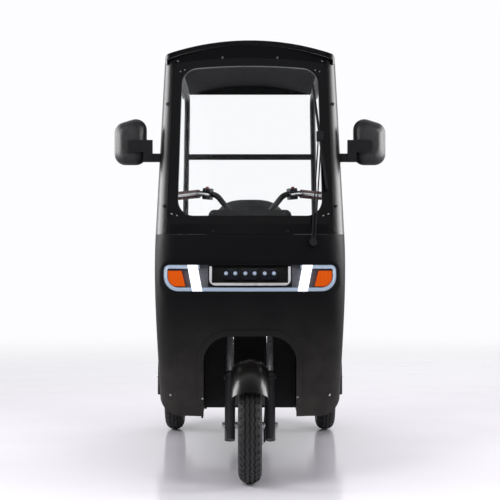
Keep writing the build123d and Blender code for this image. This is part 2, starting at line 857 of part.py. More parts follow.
with BuildPart() as fork:
    with BuildSketch(steer_plane.offset(yoke_foot)):
        with Locations((0, -leg_offset)):
            SlotCenterToCenter(2 * leg_half_spacing, yoke_width)
        Circle(crown_radius)
    extrude(amount=yoke_top - yoke_foot)
    with BuildSketch(steer_plane.offset(slider_bore_foot + skin)):
        with Locations(*leg_places):
            Circle(stanchion_radius)
    extrude(amount=yoke_foot - slider_bore_foot)
    with BuildSketch(steer_plane.offset(yoke_foot)):
        Circle(steerer_radius)
    extrude(amount=steerer_top - yoke_foot)
save(fork.part, "fork")

with BuildPart() as fork_sliders:
    with BuildSketch(steer_plane.offset(slider_foot)):
        with Locations(*leg_places):
            Circle(slider_radius)
    extrude(amount=slider_top - slider_foot)
    with BuildSketch(steer_plane.offset(slider_top - collar_height)):
        with Locations(*leg_places):
            Circle(collar_radius)
    extrude(amount=collar_height)
    with BuildSketch(steer_plane.offset(slider_bore_foot)):
        with Locations(*leg_places):
            Circle(stanchion_radius + fit_gap)
    extrude(amount=slider_top - slider_bore_foot + overrun, mode=Mode.SUBTRACT)
    with BuildSketch(axle_line_plane):
        Circle(axle_radius + fit_gap)
    extrude(amount=leg_half_spacing + overrun, both=True, mode=Mode.SUBTRACT)
save(fork_sliders.part, "fork_sliders")

# Front axle with its nuts, spacers and the brake's back plate and lever
axle_half_length = 100
nut_inner = 92
nut_across = 24
spacer_radius = 12
plate_radius = 68
plate_gap = 0.6
plate_thickness = 5
lever_pivot_back = 42
lever_pivot_drop = 10
lever_foot_back = 47
lever_foot_drop = 68
lever_pivot = (lever_pivot_back, -lever_pivot_drop)
lever_foot = (lever_foot_back, -lever_foot_drop)
lever_thickness = 4
lever_width = 14
cam_radius = 7
leg_inner = leg_half_spacing - slider_radius

with BuildPart() as front_axle:
    with BuildSketch(axle_line_plane):
        Circle(axle_radius)
    extrude(amount=axle_half_length, both=True)
    for side in (-1, 1):
        with BuildSketch(axle_line_plane.offset(side * nut_inner)):
            RegularPolygon(nut_across / 2, 6)
        extrude(amount=side * (axle_half_length - nut_inner))
    with BuildSketch(axle_line_plane.offset(-front_hub_left - plate_gap)):
        Circle(spacer_radius)
    extrude(amount=front_hub_left + plate_gap + fit_gap - leg_inner)
    plate_inner = front_hub_right + plate_gap
    with BuildSketch(axle_line_plane.offset(plate_inner)):
        Circle(plate_radius)
    extrude(amount=plate_thickness)
    with BuildSketch(axle_line_plane.offset(plate_inner)):
        Circle(spacer_radius)
    extrude(amount=leg_inner - fit_gap - plate_inner)
    with BuildSketch(axle_line_plane.offset(plate_inner)):
        with Locations(lever_pivot):
            Circle(cam_radius)
    extrude(amount=plate_thickness + skin)
    with BuildSketch(axle_line_plane.offset(plate_inner + plate_thickness + skin)):
        with Locations(lever_pivot, lever_foot):
            Circle(lever_width / 2)
        with BuildLine():
            half = lever_width / 2
            Polyline((lever_pivot[0] - half, lever_pivot[1]),
                     (lever_foot[0] - half, lever_foot[1]),
                     (lever_foot[0] + half, lever_foot[1]),
                     (lever_pivot[0] + half, lever_pivot[1]), close=True)
        make_face()
    extrude(amount=lever_thickness)
save(front_axle.part, "front_axle")

# Front mudguard: a domed section turned round the axle, notched round the fork's legs
guard_crown = 242
guard_half_width = 66
guard_side = 198
guard_foot = 184
guard_wall = 3
guard_front_angle = 35
guard_sweep = 132

with BuildPart() as front_mudguard:
    with BuildSketch(Plane(origin=(0, front_axle_y, axle_height), x_dir=(1, 0, 0),
                           z_dir=(0, sin(radians(guard_front_angle)),
                                  cos(radians(guard_front_angle))))):
        with BuildLine():
            inner = guard_half_width - guard_wall
            Line((-guard_half_width, -guard_foot), (-guard_half_width, -guard_side))
            ThreePointArc((-guard_half_width, -guard_side), (0, -guard_crown),
                          (guard_half_width, -guard_side))
            Polyline((guard_half_width, -guard_side), (guard_half_width, -guard_foot),
                     (inner, -guard_foot), (inner, -guard_side))
            ThreePointArc((inner, -guard_side), (0, guard_wall - guard_crown),
                          (-inner, -guard_side))
            Polyline((-inner, -guard_side), (-inner, -guard_foot),
                     (-guard_half_width, -guard_foot))
        make_face()
    revolve(axis=Axis((0, front_axle_y, axle_height), (1, 0, 0)),
            revolution_arc=-guard_sweep)
    with BuildSketch(steer_plane):
        with Locations(*leg_places):
            Circle(collar_radius + fit_gap)
    extrude(amount=slider_top + skin, mode=Mode.SUBTRACT)
    with BuildSketch(steer_plane):
        with Locations(*leg_places):
            Circle(stanchion_radius + fit_gap)
    extrude(amount=yoke_foot, mode=Mode.SUBTRACT)
save(front_mudguard.part, "front_mudguard")

# Handlebar: a stem on the steerer and a high bar swept back to the grips
bar_radius = 11
bar_clamp = (0, steer_origin[1] + stem_top * rake_sin, steer_origin[2] + stem_top * rake_cos)
bar_root_out = 55
bar_knee_out = 130
bar_knee_back = 10
bar_knee_rise = 95
bar_shoulder_out = 185
bar_shoulder_back = 25
bar_shoulder_rise = 100
bar_end_out = 290
bar_end_back = 75
bar_end_rise = 92
# columns: out from the stem, behind the clamp, above the clamp
bar_points = [(bar_root_out, 0, 0), (bar_knee_out, bar_knee_back, bar_knee_rise),
              (bar_shoulder_out, bar_shoulder_back, bar_shoulder_rise),
              (bar_end_out, bar_end_back, bar_end_rise)]
bar_bends = [35, 45, 60]
grip_radius = 16.5
grip_length = 105
grip_start = 14
pod_length = 30
pod_width = 46
pod_height = 44
pod_corner = 8
pod_place = 35
lever_root_out = 160
lever_root_ahead = 2
lever_root_rise = 94
lever_bend_out = 192
lever_bend_ahead = 32
lever_bend_rise = 98
lever_tip_out = 284
lever_tip_back = 26
lever_tip_rise = 90
lever_points = [(lever_root_out, -lever_root_ahead, lever_root_rise),
                (lever_bend_out, -lever_bend_ahead, lever_bend_rise),
                (lever_tip_out, lever_tip_back, lever_tip_rise)]
lever_bend = 25
lever_radius = 5


def bar_point(side, offsets):
    """A point on the handlebar, from its offsets to the clamp."""
    out, behind, above = offsets
    return (side * out, bar_clamp[1] + behind, bar_clamp[2] + above)


def bar_plane(side, start, end, distance):
    """The plane across the bar at a distance along one of its straight runs."""
    run = Vector(*bar_point(side, end)) - Vector(*bar_point(side, start))
    origin = Vector(*bar_point(side, start)) + run.normalized() * distance
    return Plane(origin=origin, z_dir=run)


with BuildPart() as handlebar:
    with BuildSketch(steer_plane.offset(stem_foot)):
        Circle(stem_radius)
    extrude(amount=stem_top - stem_foot)
    with BuildSketch(steer_plane.offset(stem_foot)):
        Circle(steerer_radius + fit_gap)
    extrude(amount=steerer_top + fit_gap - stem_foot, mode=Mode.SUBTRACT)
    left_points = [bar_point(-1, offsets) for offsets in reversed(bar_points)]
    right_points = [bar_point(1, offsets) for offsets in bar_points]
    add(bent_tube(left_points + right_points, list(reversed(bar_bends)) + bar_bends,
                  bar_radius))
    with Locations(bar_clamp):
        Cylinder(stem_radius + skin, 2 * stem_radius + 4 * skin, rotation=(0, 90, 0))
save(handlebar.part, "handlebar")

with BuildPart() as hand_grips:
    for side in (-1, 1):
        grip_plane = bar_plane(side, bar_points[2], bar_points[3], grip_start)
        with BuildSketch(grip_plane):
            Circle(grip_radius)
            Circle(bar_radius + fit_gap, mode=Mode.SUBTRACT)
        extrude(amount=grip_length)
save(hand_grips.part, "hand_grips")

with BuildPart() as control_pods:
    for side in (-1, 1):
        pod_plane = bar_plane(side, bar_points[1], bar_points[2], pod_place)
        with BuildSketch(pod_plane.offset(-pod_length / 2)):
            RectangleRounded(pod_width, pod_height, pod_corner)
            Circle(bar_radius + fit_gap, mode=Mode.SUBTRACT)
        extrude(amount=pod_length)
save(control_pods.part, "control_pods")

with BuildPart() as brake_levers:
    for side in (-1, 1):
        add(bent_tube([bar_point(side, offsets) for offsets in lever_points],
                      [lever_bend], lever_radius))
        pod_plane = bar_plane(side, bar_points[1], bar_points[2], pod_place)
        with BuildSketch(pod_plane.offset(-pod_length / 2 - fit_gap)):
            RectangleRounded(pod_width + 2 * fit_gap, pod_height + 2 * fit_gap, pod_corner)
        extrude(amount=pod_length + 2 * fit_gap, mode=Mode.SUBTRACT)
save(brake_levers.part, "brake_levers")

# Front brake cable, up the right leg and the stem to the lever. The route's points
# are x, y and z in the steering plane.
cable_radius = 3.5
cable_points = [(52.5, 40, -43), (53, 32, 20), (58, 10, 110), (58, 8, 320),
                (52, 8, 450), (36, 12, 580), (32, 8, 765), (70, -22, 830),
                (112, -60, 880)]
cable_bends = [110, 120, 160, 120, 140, 70, 60]

with BuildPart() as brake_cable:
    with BuildLine(steer_plane) as cable_route:
        FilletPolyline(*cable_points, radius=cable_bends)
    with BuildSketch(Plane(origin=cable_route.line @ 0, z_dir=cable_route.line % 0)):
        Circle(cable_radius)
    sweep(path=cable_route.line)
save(brake_cable.part, "brake_cable")

# Main frame: head tube, down tube, two rails and their cross members
rail_x = 170
rail_width = 30
rail_height = 40
floor_thickness = 12.7
rail_top = floor_top - floor_thickness - fit_gap
rail_front_setback = 311
rail_front_y = front_axle_y + rail_front_setback
rail_tail_inset = 113.5
rail_tail_y = rear_end_y - rail_tail_inset
down_tube_radius = 19
down_tube_knee_setback = 318
down_tube_knee_y = front_axle_y + down_tube_knee_setback
down_tube_knee_height = 590
down_tube_foot_setback = 331
down_tube_foot_y = front_axle_y + down_tube_foot_setback
down_tube_bend = 45
head_middle = (head_tube_foot + head_tube_top) / 2
seat_member_setback = 800
back_member_setback = 1130
spring_half_length = 252
tub_half_width = 284
spring_front_y = rear_axle_y - spring_half_length
spring_rear_y = rear_axle_y + spring_half_length

with BuildPart() as main_frame:
    add(bent_tube([(0, steer_origin[1] + head_middle * rake_sin,
                    steer_origin[2] + head_middle * rake_cos),
                   (0, down_tube_knee_y, down_tube_knee_height),
                   (0, down_tube_foot_y, rail_top - rail_height / 2)],
                  [down_tube_bend], down_tube_radius))
    with BuildSketch(steer_plane.offset(head_tube_foot)):
        Circle(head_tube_radius)
    extrude(amount=head_tube_top - head_tube_foot)
    with BuildSketch(steer_plane.offset(head_tube_foot)):
        Circle(steerer_radius + fit_gap)
    extrude(amount=head_tube_top - head_tube_foot, mode=Mode.SUBTRACT)
    with BuildSketch(Plane.XY.offset(rail_top)):
        rail_length = rail_tail_y - rail_front_y
        with Locations((-rail_x, (rail_front_y + rail_tail_y) / 2),
                       (rail_x, (rail_front_y + rail_tail_y) / 2)):
            Rectangle(rail_width, rail_length)
        member_length = 2 * rail_x + rail_width
        with Locations((0, down_tube_foot_y), (0, front_axle_y + seat_member_setback),
                       (0, front_axle_y + back_member_setback), (0, rail_tail_y - rail_width / 2)):
            Rectangle(member_length, rail_width)
        with Locations((0, spring_front_y), (0, spring_rear_y)):
            Rectangle(2 * tub_half_width, rail_width)
    extrude(amount=-rail_height)
save(main_frame.part, "main_frame")

# Wheel well: two cheeks and a back wall behind the front wheel, open below and above
well_clearance = 8
well_half_width_x = arch_half_width + well_clearance
well_back_setback = 266
well_back_y = front_axle_y + well_back_setback
well_wall = 4
well_top = 556
well_lift = 2
well_foot = apron_height + well_lift

with BuildPart() as wheel_well:
    with BuildSketch(Plane.XY.offset(well_foot)):
        with BuildLine():
            ahead = front_axle_y - nose_lamp - overrun
            Polyline((-well_half_width_x, ahead), (-well_half_width_x, well_back_y),
                     (well_half_width_x, well_back_y), (well_half_width_x, ahead),
                     close=True)
        make_face()
        with BuildLine():
            inner = well_half_width_x - well_wall
            Polyline((-inner, ahead), (-inner, well_back_y - well_wall),
                     (inner, well_back_y - well_wall), (inner, ahead), close=True)
        make_face(mode=Mode.SUBTRACT)
    extrude(amount=well_top - well_foot)
    add(cowl_block(skin + fit_gap), mode=Mode.INTERSECT)
save(wheel_well.part, "wheel_well")

# Dashboard: a shelf behind the screen, a knee panel and the instrument binnacle
dash_drop = 5
dash_top = belt_height - dash_drop
dash_front_y = belt_front_y + dash_drop
dash_rear_setback = 420
dash_rear_y = front_axle_y + dash_rear_setback
knee_setback = 366
knee_y = front_axle_y + knee_setback
knee_height = 640
shield_foot_setback = 360
shield_foot_y = front_axle_y + shield_foot_setback
shield_foot = floor_top + fit_gap
dash_corner = 30
dash_wall = 5
stem_hole_radius = 52
binnacle_half_width = 168
binnacle_top_half_width = 150
binnacle_top = 988
binnacle_front_setback = 140
binnacle_front_y = front_axle_y + binnacle_front_setback
binnacle_rear_setback = 276
binnacle_rear_y = front_axle_y + binnacle_rear_setback
binnacle_corner = 22

with BuildPart() as dashboard:
    with BuildSketch(Plane.YZ):
        with BuildLine():
            FilletPolyline((dash_front_y, dash_top), (dash_rear_y, dash_top),
                           (knee_y, knee_height), (shield_foot_y, shield_foot),
                           radius=[dash_corner, 2 * dash_corner])
            Line((shield_foot_y, shield_foot), (shield_foot_y - dash_wall, shield_foot))
            FilletPolyline((shield_foot_y - dash_wall, shield_foot),
                           (knee_y - dash_wall, knee_height),
                           (dash_rear_y - dash_wall, dash_top - dash_wall),
                           (dash_front_y, dash_top - dash_wall),
                           radius=[2 * dash_corner, dash_corner - dash_wall])
            Line((dash_front_y, dash_top - dash_wall), (dash_front_y, dash_top))
        make_face()
    extrude(amount=cowl_half_width, both=True)
    add(cowl_block(skin + fit_gap), mode=Mode.INTERSECT)
    with BuildSketch(front_plane(binnacle_front_y)):
        with BuildLine():
            Polyline((-binnacle_half_width, dash_top - dash_wall),
                     (-binnacle_top_half_width, binnacle_top),
                     (binnacle_top_half_width, binnacle_top),
                     (binnacle_half_width, dash_top - dash_wall), close=True)
        make_face()
        fillet(vertices().group_by(Axis.Y)[-1], binnacle_corner)
    extrude(amount=binnacle_front_y - binnacle_rear_y)
    with BuildSketch(steer_plane):
        Circle(stem_hole_radius)
    extrude(amount=stem_top + overrun, mode=Mode.SUBTRACT)
save(dashboard.part, "dashboard")

# Floor board with side sills
floor_front_setback = 364
floor_front_y = front_axle_y + floor_front_setback
tub_front_lead = 254
tub_front_y = rear_axle_y - tub_front_lead
floor_wide_y = cowl_edge_foot_y + fit_gap
floor_rear_y = tub_front_y - fit_gap
floor_narrow_half_width = 308
sill_wall = 6
pedal_x = -230
pedal_setback = 446
pedal_y = front_axle_y + pedal_setback
pedal_slot_width = 22
pedal_slot_length = 44

with BuildPart() as floor_board:
    with BuildSketch(Plane.XY.offset(floor_top)):
        with BuildLine():
            half = apron_half_width
            Polyline((-floor_narrow_half_width, floor_front_y),
                     (-floor_narrow_half_width, floor_wide_y), (-half, floor_wide_y),
                     (-half, floor_rear_y), (half, floor_rear_y), (half, floor_wide_y),
                     (floor_narrow_half_width, floor_wide_y),
                     (floor_narrow_half_width, floor_front_y), close=True)
        make_face()
        with Locations((pedal_x, pedal_y)):
            Rectangle(pedal_slot_width, pedal_slot_length, mode=Mode.SUBTRACT)
    extrude(amount=-floor_thickness)
    with BuildSketch(Plane.XY.offset(floor_top - floor_thickness)):
        sill_middle_y = (floor_wide_y + floor_rear_y) / 2
        sill_x = apron_half_width - sill_wall / 2
        with Locations((-sill_x, sill_middle_y), (sill_x, sill_middle_y)):
            Rectangle(sill_wall, floor_rear_y - floor_wide_y)
    extrude(amount=apron_height - floor_top + floor_thickness)
save(floor_board.part, "floor_board")

# Brake pedal on a cross pivot beside the left rail
pivot_height = 222
pivot_radius = 9
pivot_outer = 254
pivot_setback = 470
pivot_y = front_axle_y + pivot_setback
pedal_arm_width = 14
pedal_arm_thickness = 8
pedal_top = 392
pedal_pad_width = 56
pedal_pad_length = 46
pedal_pad_thickness = 8
crank_foot = 178
pivot_plate_thickness = 6

with BuildPart() as brake_pedal:
    pivot_inner = rail_x + rail_width / 2 + fit_gap
    with BuildSketch(Plane(origin=(-pivot_outer, pivot_y, pivot_height),
                           x_dir=(0, 1, 0), z_dir=(1, 0, 0))):
        Circle(pivot_radius)
    extrude(amount=pivot_outer - rail_x)
    with BuildSketch(Plane(origin=(-pivot_inner, pivot_y, pivot_height),
                           x_dir=(0, -1, 0), z_dir=(-1, 0, 0))):
        with Locations((0, (rail_top - pivot_height) / 2)):
            Rectangle(2 * pivot_radius, rail_top - pivot_height)
    extrude(amount=pivot_plate_thickness)
    add(straight_bar((pedal_x, pivot_y, pivot_height), (pedal_x, pedal_y - skin, pedal_top),
                     pedal_arm_width, pedal_arm_thickness))
    with Locations((pedal_x, pedal_y - skin, pedal_top)):
        Box(pedal_pad_width, pedal_pad_length, pedal_pad_thickness)
    with Locations((-rail_x - 2 * pivot_radius, pivot_y, (pivot_height + crank_foot) / 2)):
        Box(pedal_arm_thickness, 2 * pivot_radius, pivot_height - crank_foot)
save(brake_pedal.part, "brake_pedal")

# Driver's seat on its battery box
box_front_setback = 800
box_front_y = front_axle_y + box_front_setback
box_rear_setback = 1150
box_rear_y = front_axle_y + box_rear_setback
box_half_width = 190
box_corner = 30
box_wall = 6
cushion_thickness = 80
box_top = seat_height - cushion_thickness
battery_width = 300
battery_length = 280
battery_height = 180
box_middle_y = (box_front_y + box_rear_y) / 2
box_length = box_rear_y - box_front_y

with BuildPart() as seat_box:
    with BuildSketch(Plane.XY.offset(floor_top + fit_gap)):
        with Locations((0, box_middle_y)):
            RectangleRounded(2 * box_half_width, box_length, box_corner)
    extrude(amount=box_top - floor_top - fit_gap)
    with BuildSketch(Plane.XY.offset(floor_top + fit_gap)):
        with Locations((0, box_middle_y)):
            RectangleRounded(2 * (box_half_width - box_wall), box_length - 2 * box_wall,
                             box_corner - box_wall)
    extrude(amount=box_top - floor_top - fit_gap - box_wall, mode=Mode.SUBTRACT)
save(seat_box.part, "seat_box")

with BuildPart() as battery_pack:
    with BuildSketch(Plane.XY.offset(floor_top + fit_gap)):
        with Locations((0, box_middle_y)):
            RectangleRounded(battery_width, battery_length, box_corner / 2)
    extrude(amount=battery_height)
save(battery_pack.part, "battery_pack")

cushion_corner = 60
cushion_edge = 18
cushion_half_width = 205
cushion_overhang = 20
cushion_front_y = box_front_y - cushion_overhang
cushion_rear_inset = 10
cushion_rear_y = box_rear_y - cushion_rear_inset
back_half_width = 215
back_top_half_width = 150
back_thickness = 66
back_lift = 12
back_foot = seat_height + back_lift
back_top = 1090
back_arch = 22
back_lean = 8
back_corner = 50
back_setback = 2
back_foot_y = box_rear_y + back_setback


def seat_cushion(half_width, front_y, rear_y, foot):
    """A rounded seat cushion as one closed pad."""
    with BuildPart() as cushion:
        with BuildSketch(Plane.XY.offset(foot + fit_gap)):
            with Locations((0, (front_y + rear_y) / 2)):
                RectangleRounded(2 * half_width, rear_y - front_y, cushion_corner)
        extrude(amount=seat_height - foot - fit_gap)
        fillet(cushion.part.edges().group_by(Axis.Z)[-1], cushion_edge)
    return cushion.part


def seat_back(half_width, top_half_width, foot_y, foot, top):
    """A leaning back pad with an arched top."""
    lean_plane = Plane(origin=(0, foot_y, foot), x_dir=(1, 0, 0),
                       z_dir=(0, -cos(radians(back_lean)), sin(radians(back_lean))))
    rise = top - foot
    with BuildPart() as pad:
        with BuildSketch(lean_plane):
            with BuildLine():
                ThreePointArc((-top_half_width, rise - back_arch), (0, rise),
                              (top_half_width, rise - back_arch))
                Polyline((top_half_width, rise - back_arch),
                         (half_width, rise - 3 * back_corner), (half_width, 0),
                         (-half_width, 0), (-half_width, rise - 3 * back_corner),
                         (-top_half_width, rise - back_arch))
            make_face()
            fillet(vertices(), back_corner)
        extrude(amount=-back_thickness)
        fillet(pad.part.faces().sort_by(Axis.Y)[0].edges(), cushion_edge)
    return pad.part


save(seat_cushion(cushion_half_width, cushion_front_y, cushion_rear_y, box_top),
     "driver_seat_cushion")
save(seat_back(back_half_width, back_top_half_width, back_foot_y, back_foot, back_top),
     "driver_seat_back")

# Passenger bench over the rear axle
bench_half_width = 275
bench_top_half_width = 210
bench_front_lead = 222
bench_front_y = rear_axle_y - bench_front_lead
bench_rear_setback = 128
bench_rear_y = rear_axle_y + bench_rear_setback
bench_back_setback = 132
bench_back_foot_y = rear_axle_y + bench_back_setback
bench_back_top = 1000
save(seat_cushion(bench_half_width, bench_front_y, bench_rear_y, deck_top),
     "passenger_seat_cushion")
save(seat_back(bench_half_width, bench_top_half_width, bench_back_foot_y, back_foot,
               bench_back_top), "passenger_seat_back")

# Flat bars that carry the two seat backs
strap_x = 110
strap_width = 40
strap_thickness = 8
strap_share = 0.62

with BuildPart() as seat_back_frames:
    lean_sin = sin(radians(back_lean))
    lean_cos = cos(radians(back_lean))
    for foot_y, top, root in ((back_foot_y, back_top, floor_top + fit_gap),
                              (bench_back_foot_y, bench_back_top, deck_top + fit_gap)):
        reach = (top - back_foot) * strap_share
        back_y = foot_y + (back_thickness + fit_gap) / lean_cos + strap_thickness / 2
        for side in (-1, 1):
            add(straight_bar((side * strap_x, back_y, back_foot),
                             (side * strap_x, back_y + reach * lean_sin,
                              back_foot + reach * lean_cos), strap_width, strap_thickness))
            with Locations((side * strap_x, back_y, root)):
                Box(strap_width, strap_thickness, back_foot - root,
                    align=(Align.CENTER, Align.CENTER, Align.MIN))
                Box(strap_width, 5 * strap_thickness, strap_thickness,
                    align=(Align.CENTER, Align.CENTER, Align.MIN))
save(seat_back_frames.part, "seat_back_frames")

# Rear body: a tub between the wheels that widens into a deck above them
tub_rear_inset = 33.5
tub_rear_y = rear_end_y - tub_rear_inset
tub_foot = rail_top + fit_gap
deck_half_width = 345
deck_foot = 468
tub_wall = 6
tub_corner = 26
rack_spacing_x = 300
rack_spacing_y = 90
rack_hole_radius = 4.2
rack_pad_width = 380
rack_pad_depth = 124
rack_pad_rise = 4
rack_pad_corner = 12
rack_inset = 75
rack_centre_y = tub_rear_y - rack_inset


def tub_outline(inset, foot):
    """The rear body in front view."""
    with BuildSketch() as outline:
        with BuildLine():
            low = tub_half_width - inset
            high = deck_half_width - inset
            Polyline((-low, foot), (-low, deck_foot + inset), (-high, deck_foot + inset),
                     (-high, deck_top - inset), (high, deck_top - inset),
                     (high, deck_foot + inset), (low, deck_foot + inset), (low, foot),
                     close=True)
        make_face()
        fillet(outline.vertices().group_by(Axis.Y)[-1], tub_corner - inset)
    return outline.sketch


with BuildPart() as rear_body:
    add(front_prism(tub_outline(0, tub_foot), tub_front_y, tub_rear_y))
    add(front_prism(tub_outline(tub_wall, tub_foot - overrun), tub_front_y + tub_wall,
                    tub_rear_y - tub_wall), mode=Mode.SUBTRACT)
    with BuildSketch(Plane.XY.offset(deck_top)):
        with Locations((0, rack_centre_y)):
            RectangleRounded(rack_pad_width, rack_pad_depth, rack_pad_corner)
    extrude(amount=rack_pad_rise)
    with Locations((0, rack_centre_y, deck_top)):
        with GridLocations(rack_spacing_x, rack_spacing_y, 2, 2):
            Cylinder(rack_hole_radius, overrun, mode=Mode.SUBTRACT)
save(rear_body.part, "rear_body")

# Rear fenders, turned round the rear axle
fender_inner_radius = 245
fender_wall = 6
fender_outer = 418
fender_inner = tub_half_width + fit_gap
fender_lip = 215
fender_corner = 20
fender_sweep = 190
fender_start_angle = -5

with BuildPart() as rear_fenders:
    for side in (-1, 1):
        with BuildSketch(Plane(origin=(0, rear_axle_y, axle_height), x_dir=(1, 0, 0),
                               z_dir=(0, sin(radians(fender_start_angle)),
                                      cos(radians(fender_start_angle))))):
            with BuildLine():
                outer_radius = fender_inner_radius + fender_wall
                Polyline((side * fender_inner, -fender_inner_radius),
                         (side * fender_inner, -outer_radius),
                         (side * fender_outer, -outer_radius),
                         (side * fender_outer, -fender_lip),
                         (side * (fender_outer - fender_wall), -fender_lip),
                         (side * (fender_outer - fender_wall), -fender_inner_radius),
                         close=True)
            make_face()
            corner = vertices().filter_by(
                lambda v: abs(v.Y + fender_inner_radius + fender_wall) < fit_gap)
            fillet(corner.sort_by(lambda v: abs(v.X))[-1], fender_corner)
        revolve(axis=Axis((0, rear_axle_y, axle_height), (1, 0, 0)),
                revolution_arc=-fender_sweep)
save(rear_fenders.part, "rear_fenders")

# Rear lamps and bumper
rear_lamp_x = 272
rear_lamp_width = 104
rear_lamp_height = 54
rear_lamp_centre = 514
rear_lamp_depth = 14
rear_lamp_corner = 14
bumper_half_width = 290
bumper_height = 50
bumper_centre = 380
bumper_depth = 26
bumper_corner = 12
bumper_bracket_x = 180

with BuildPart() as rear_lamps:
    with BuildSketch(front_plane(tub_rear_y + fit_gap)):
        with Locations((-rear_lamp_x, rear_lamp_centre), (rear_lamp_x, rear_lamp_centre)):
            RectangleRounded(rear_lamp_width, rear_lamp_height, rear_lamp_corner)
    extrude(amount=-rear_lamp_depth)
save(rear_lamps.part, "rear_lamps")

with BuildPart() as rear_bumper:
    with BuildSketch(front_plane(rear_end_y)):
        with Locations((0, bumper_centre)):
            RectangleRounded(2 * bumper_half_width, bumper_height, bumper_corner)
    extrude(amount=bumper_depth)
    with BuildSketch(front_plane(rear_end_y - bumper_depth)):
        with Locations((-bumper_bracket_x, bumper_centre), (bumper_bracket_x, bumper_centre)):
            Rectangle(bumper_height, bumper_height - bumper_corner)
    extrude(amount=rear_end_y - bumper_depth - tub_rear_y - fit_gap)
save(rear_bumper.part, "rear_bumper")

# Rear axle in two halves with the motor and gearbox between them, on leaf springs
motor_radius = 78
motor_half_width = 95
axle_tube_radius = 24
tube_end_gap = 8
spindle_reach = 18
axle_tube_end = rear_wheel_x - rear_hub - tube_end_gap
spindle_end = rear_wheel_x + rear_hub + spindle_reach
backplate_radius = 68
spring_x = 212
spring_width = 44
spring_thickness = 16
spring_eye_height = rail_top - rail_height - fit_gap
spring_pad = axle_tube_radius + fit_gap
rear_axle_plane = Plane(origin=(0, rear_axle_y, axle_height), x_dir=(0, 1, 0),
                        z_dir=(1, 0, 0))

with BuildPart() as drive_motor:
    with BuildSketch(rear_axle_plane):
        Circle(motor_radius)
    extrude(amount=motor_half_width, both=True)
    chamfer(drive_motor.part.edges().filter_by(GeomType.CIRCLE), cushion_edge)
save(drive_motor.part, "drive_motor")

with BuildPart() as rear_axle:
    for side in (-1, 1):
        with BuildSketch(rear_axle_plane.offset(side * (motor_half_width + fit_gap))):
            Circle(axle_tube_radius)
        extrude(amount=side * (axle_tube_end - motor_half_width - fit_gap))
        with BuildSketch(rear_axle_plane.offset(side * (axle_tube_end - skin))):
            Circle(backplate_radius)
        extrude(amount=side * skin)
        with BuildSketch(rear_axle_plane.offset(side * (axle_tube_end - skin))):
            Circle(axle_radius)
        extrude(amount=side * (spindle_end - axle_tube_end + skin))
        with BuildSketch(rear_axle_plane.offset(side * (rear_wheel_x + rear_hub
                                                        + plate_gap))):
            RegularPolygon(nut_across / 2, 6)
        extrude(amount=side * (nut_across / 2))
save(rear_axle.part, "rear_axle")

with BuildPart() as leaf_springs:
    with BuildSketch(Plane.YZ.offset(spring_x - spring_width / 2)) as leaf:
        with BuildLine():
            foot = axle_height + spring_pad
            ThreePointArc((spring_front_y, spring_eye_height),
                          (rear_axle_y, foot + spring_thickness),
                          (spring_rear_y, spring_eye_height))
            Line((spring_rear_y, spring_eye_height),
                 (spring_rear_y, spring_eye_height - spring_thickness))
            ThreePointArc((spring_rear_y, spring_eye_height - spring_thickness),
                          (rear_axle_y, foot),
                          (spring_front_y, spring_eye_height - spring_thickness))
            Line((spring_front_y, spring_eye_height - spring_thickness),
                 (spring_front_y, spring_eye_height))
        make_face()
    extrude(amount=spring_width)
    mirror(about=Plane.YZ)
save(leaf_springs.part, "leaf_springs")
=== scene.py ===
# %% [markdown]
# # A roofed electric tricycle, dressed for its portrait
#
# The solids come from a CAD model and never move. This file gives them their paint,
# rubber and glass, and adds what a solid model leaves out: tyre tread, seat covers,
# bolts, lamp diodes, switches and piping.
#
# ## The fixed frame
#
# Loading the imported model gives one object for each solid, all in metres and all at the
# origin, so a new piece goes where the CAD says and needs no fitting.

# %% The fixed frame
import json
from math import atan2, cos, hypot, pi, radians, sin, sqrt, tan

import bmesh
import bpy
import numpy as np
from mathutils import Matrix, Vector
from mathutils.bvhtree import BVHTree


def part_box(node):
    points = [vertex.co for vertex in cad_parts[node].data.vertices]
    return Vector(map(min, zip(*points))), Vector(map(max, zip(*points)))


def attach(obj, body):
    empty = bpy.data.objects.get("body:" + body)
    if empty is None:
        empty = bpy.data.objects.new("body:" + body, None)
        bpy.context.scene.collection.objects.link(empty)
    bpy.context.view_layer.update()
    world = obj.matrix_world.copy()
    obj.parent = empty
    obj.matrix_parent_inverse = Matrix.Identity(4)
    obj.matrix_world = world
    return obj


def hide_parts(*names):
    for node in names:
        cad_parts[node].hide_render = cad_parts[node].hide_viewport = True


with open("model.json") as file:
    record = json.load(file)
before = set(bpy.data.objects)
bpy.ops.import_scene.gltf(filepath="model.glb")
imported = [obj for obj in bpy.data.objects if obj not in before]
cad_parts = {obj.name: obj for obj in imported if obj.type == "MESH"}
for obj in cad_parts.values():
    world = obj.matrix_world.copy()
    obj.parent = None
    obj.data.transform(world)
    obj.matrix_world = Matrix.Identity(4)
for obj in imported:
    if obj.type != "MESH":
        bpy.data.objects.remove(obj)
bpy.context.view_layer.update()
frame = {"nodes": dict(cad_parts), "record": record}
nodes = frame["nodes"]

# %% [markdown]
# ## Camera
#
# The picture was taken level with the bonnet from almost six metres, with a long lens,
# so the pillars barely converge. A camera could be fitted by eye, but here its distance
# and height come from the tyres: a front and a rear tyre of one size look different,
# and the ratio gives the distance.

# %% The camera
picture_middle = 250      # pixels from either edge of the square picture
focal_pixels = 1391       # lens length in pixels, from the tyres
eye_place = (0, -5.876, 0.839)

camera_data = bpy.data.cameras.new("portrait_camera")
camera_data.lens = 100.15
camera_data.sensor_width = 36
camera = bpy.data.objects.new("portrait_camera", camera_data)
camera.location = eye_place
camera.rotation_euler = (radians(90), 0, 0)
bpy.context.scene.collection.objects.link(camera)
bpy.context.scene.camera = camera
print("camera", tuple(camera.location), "lens", camera_data.lens)

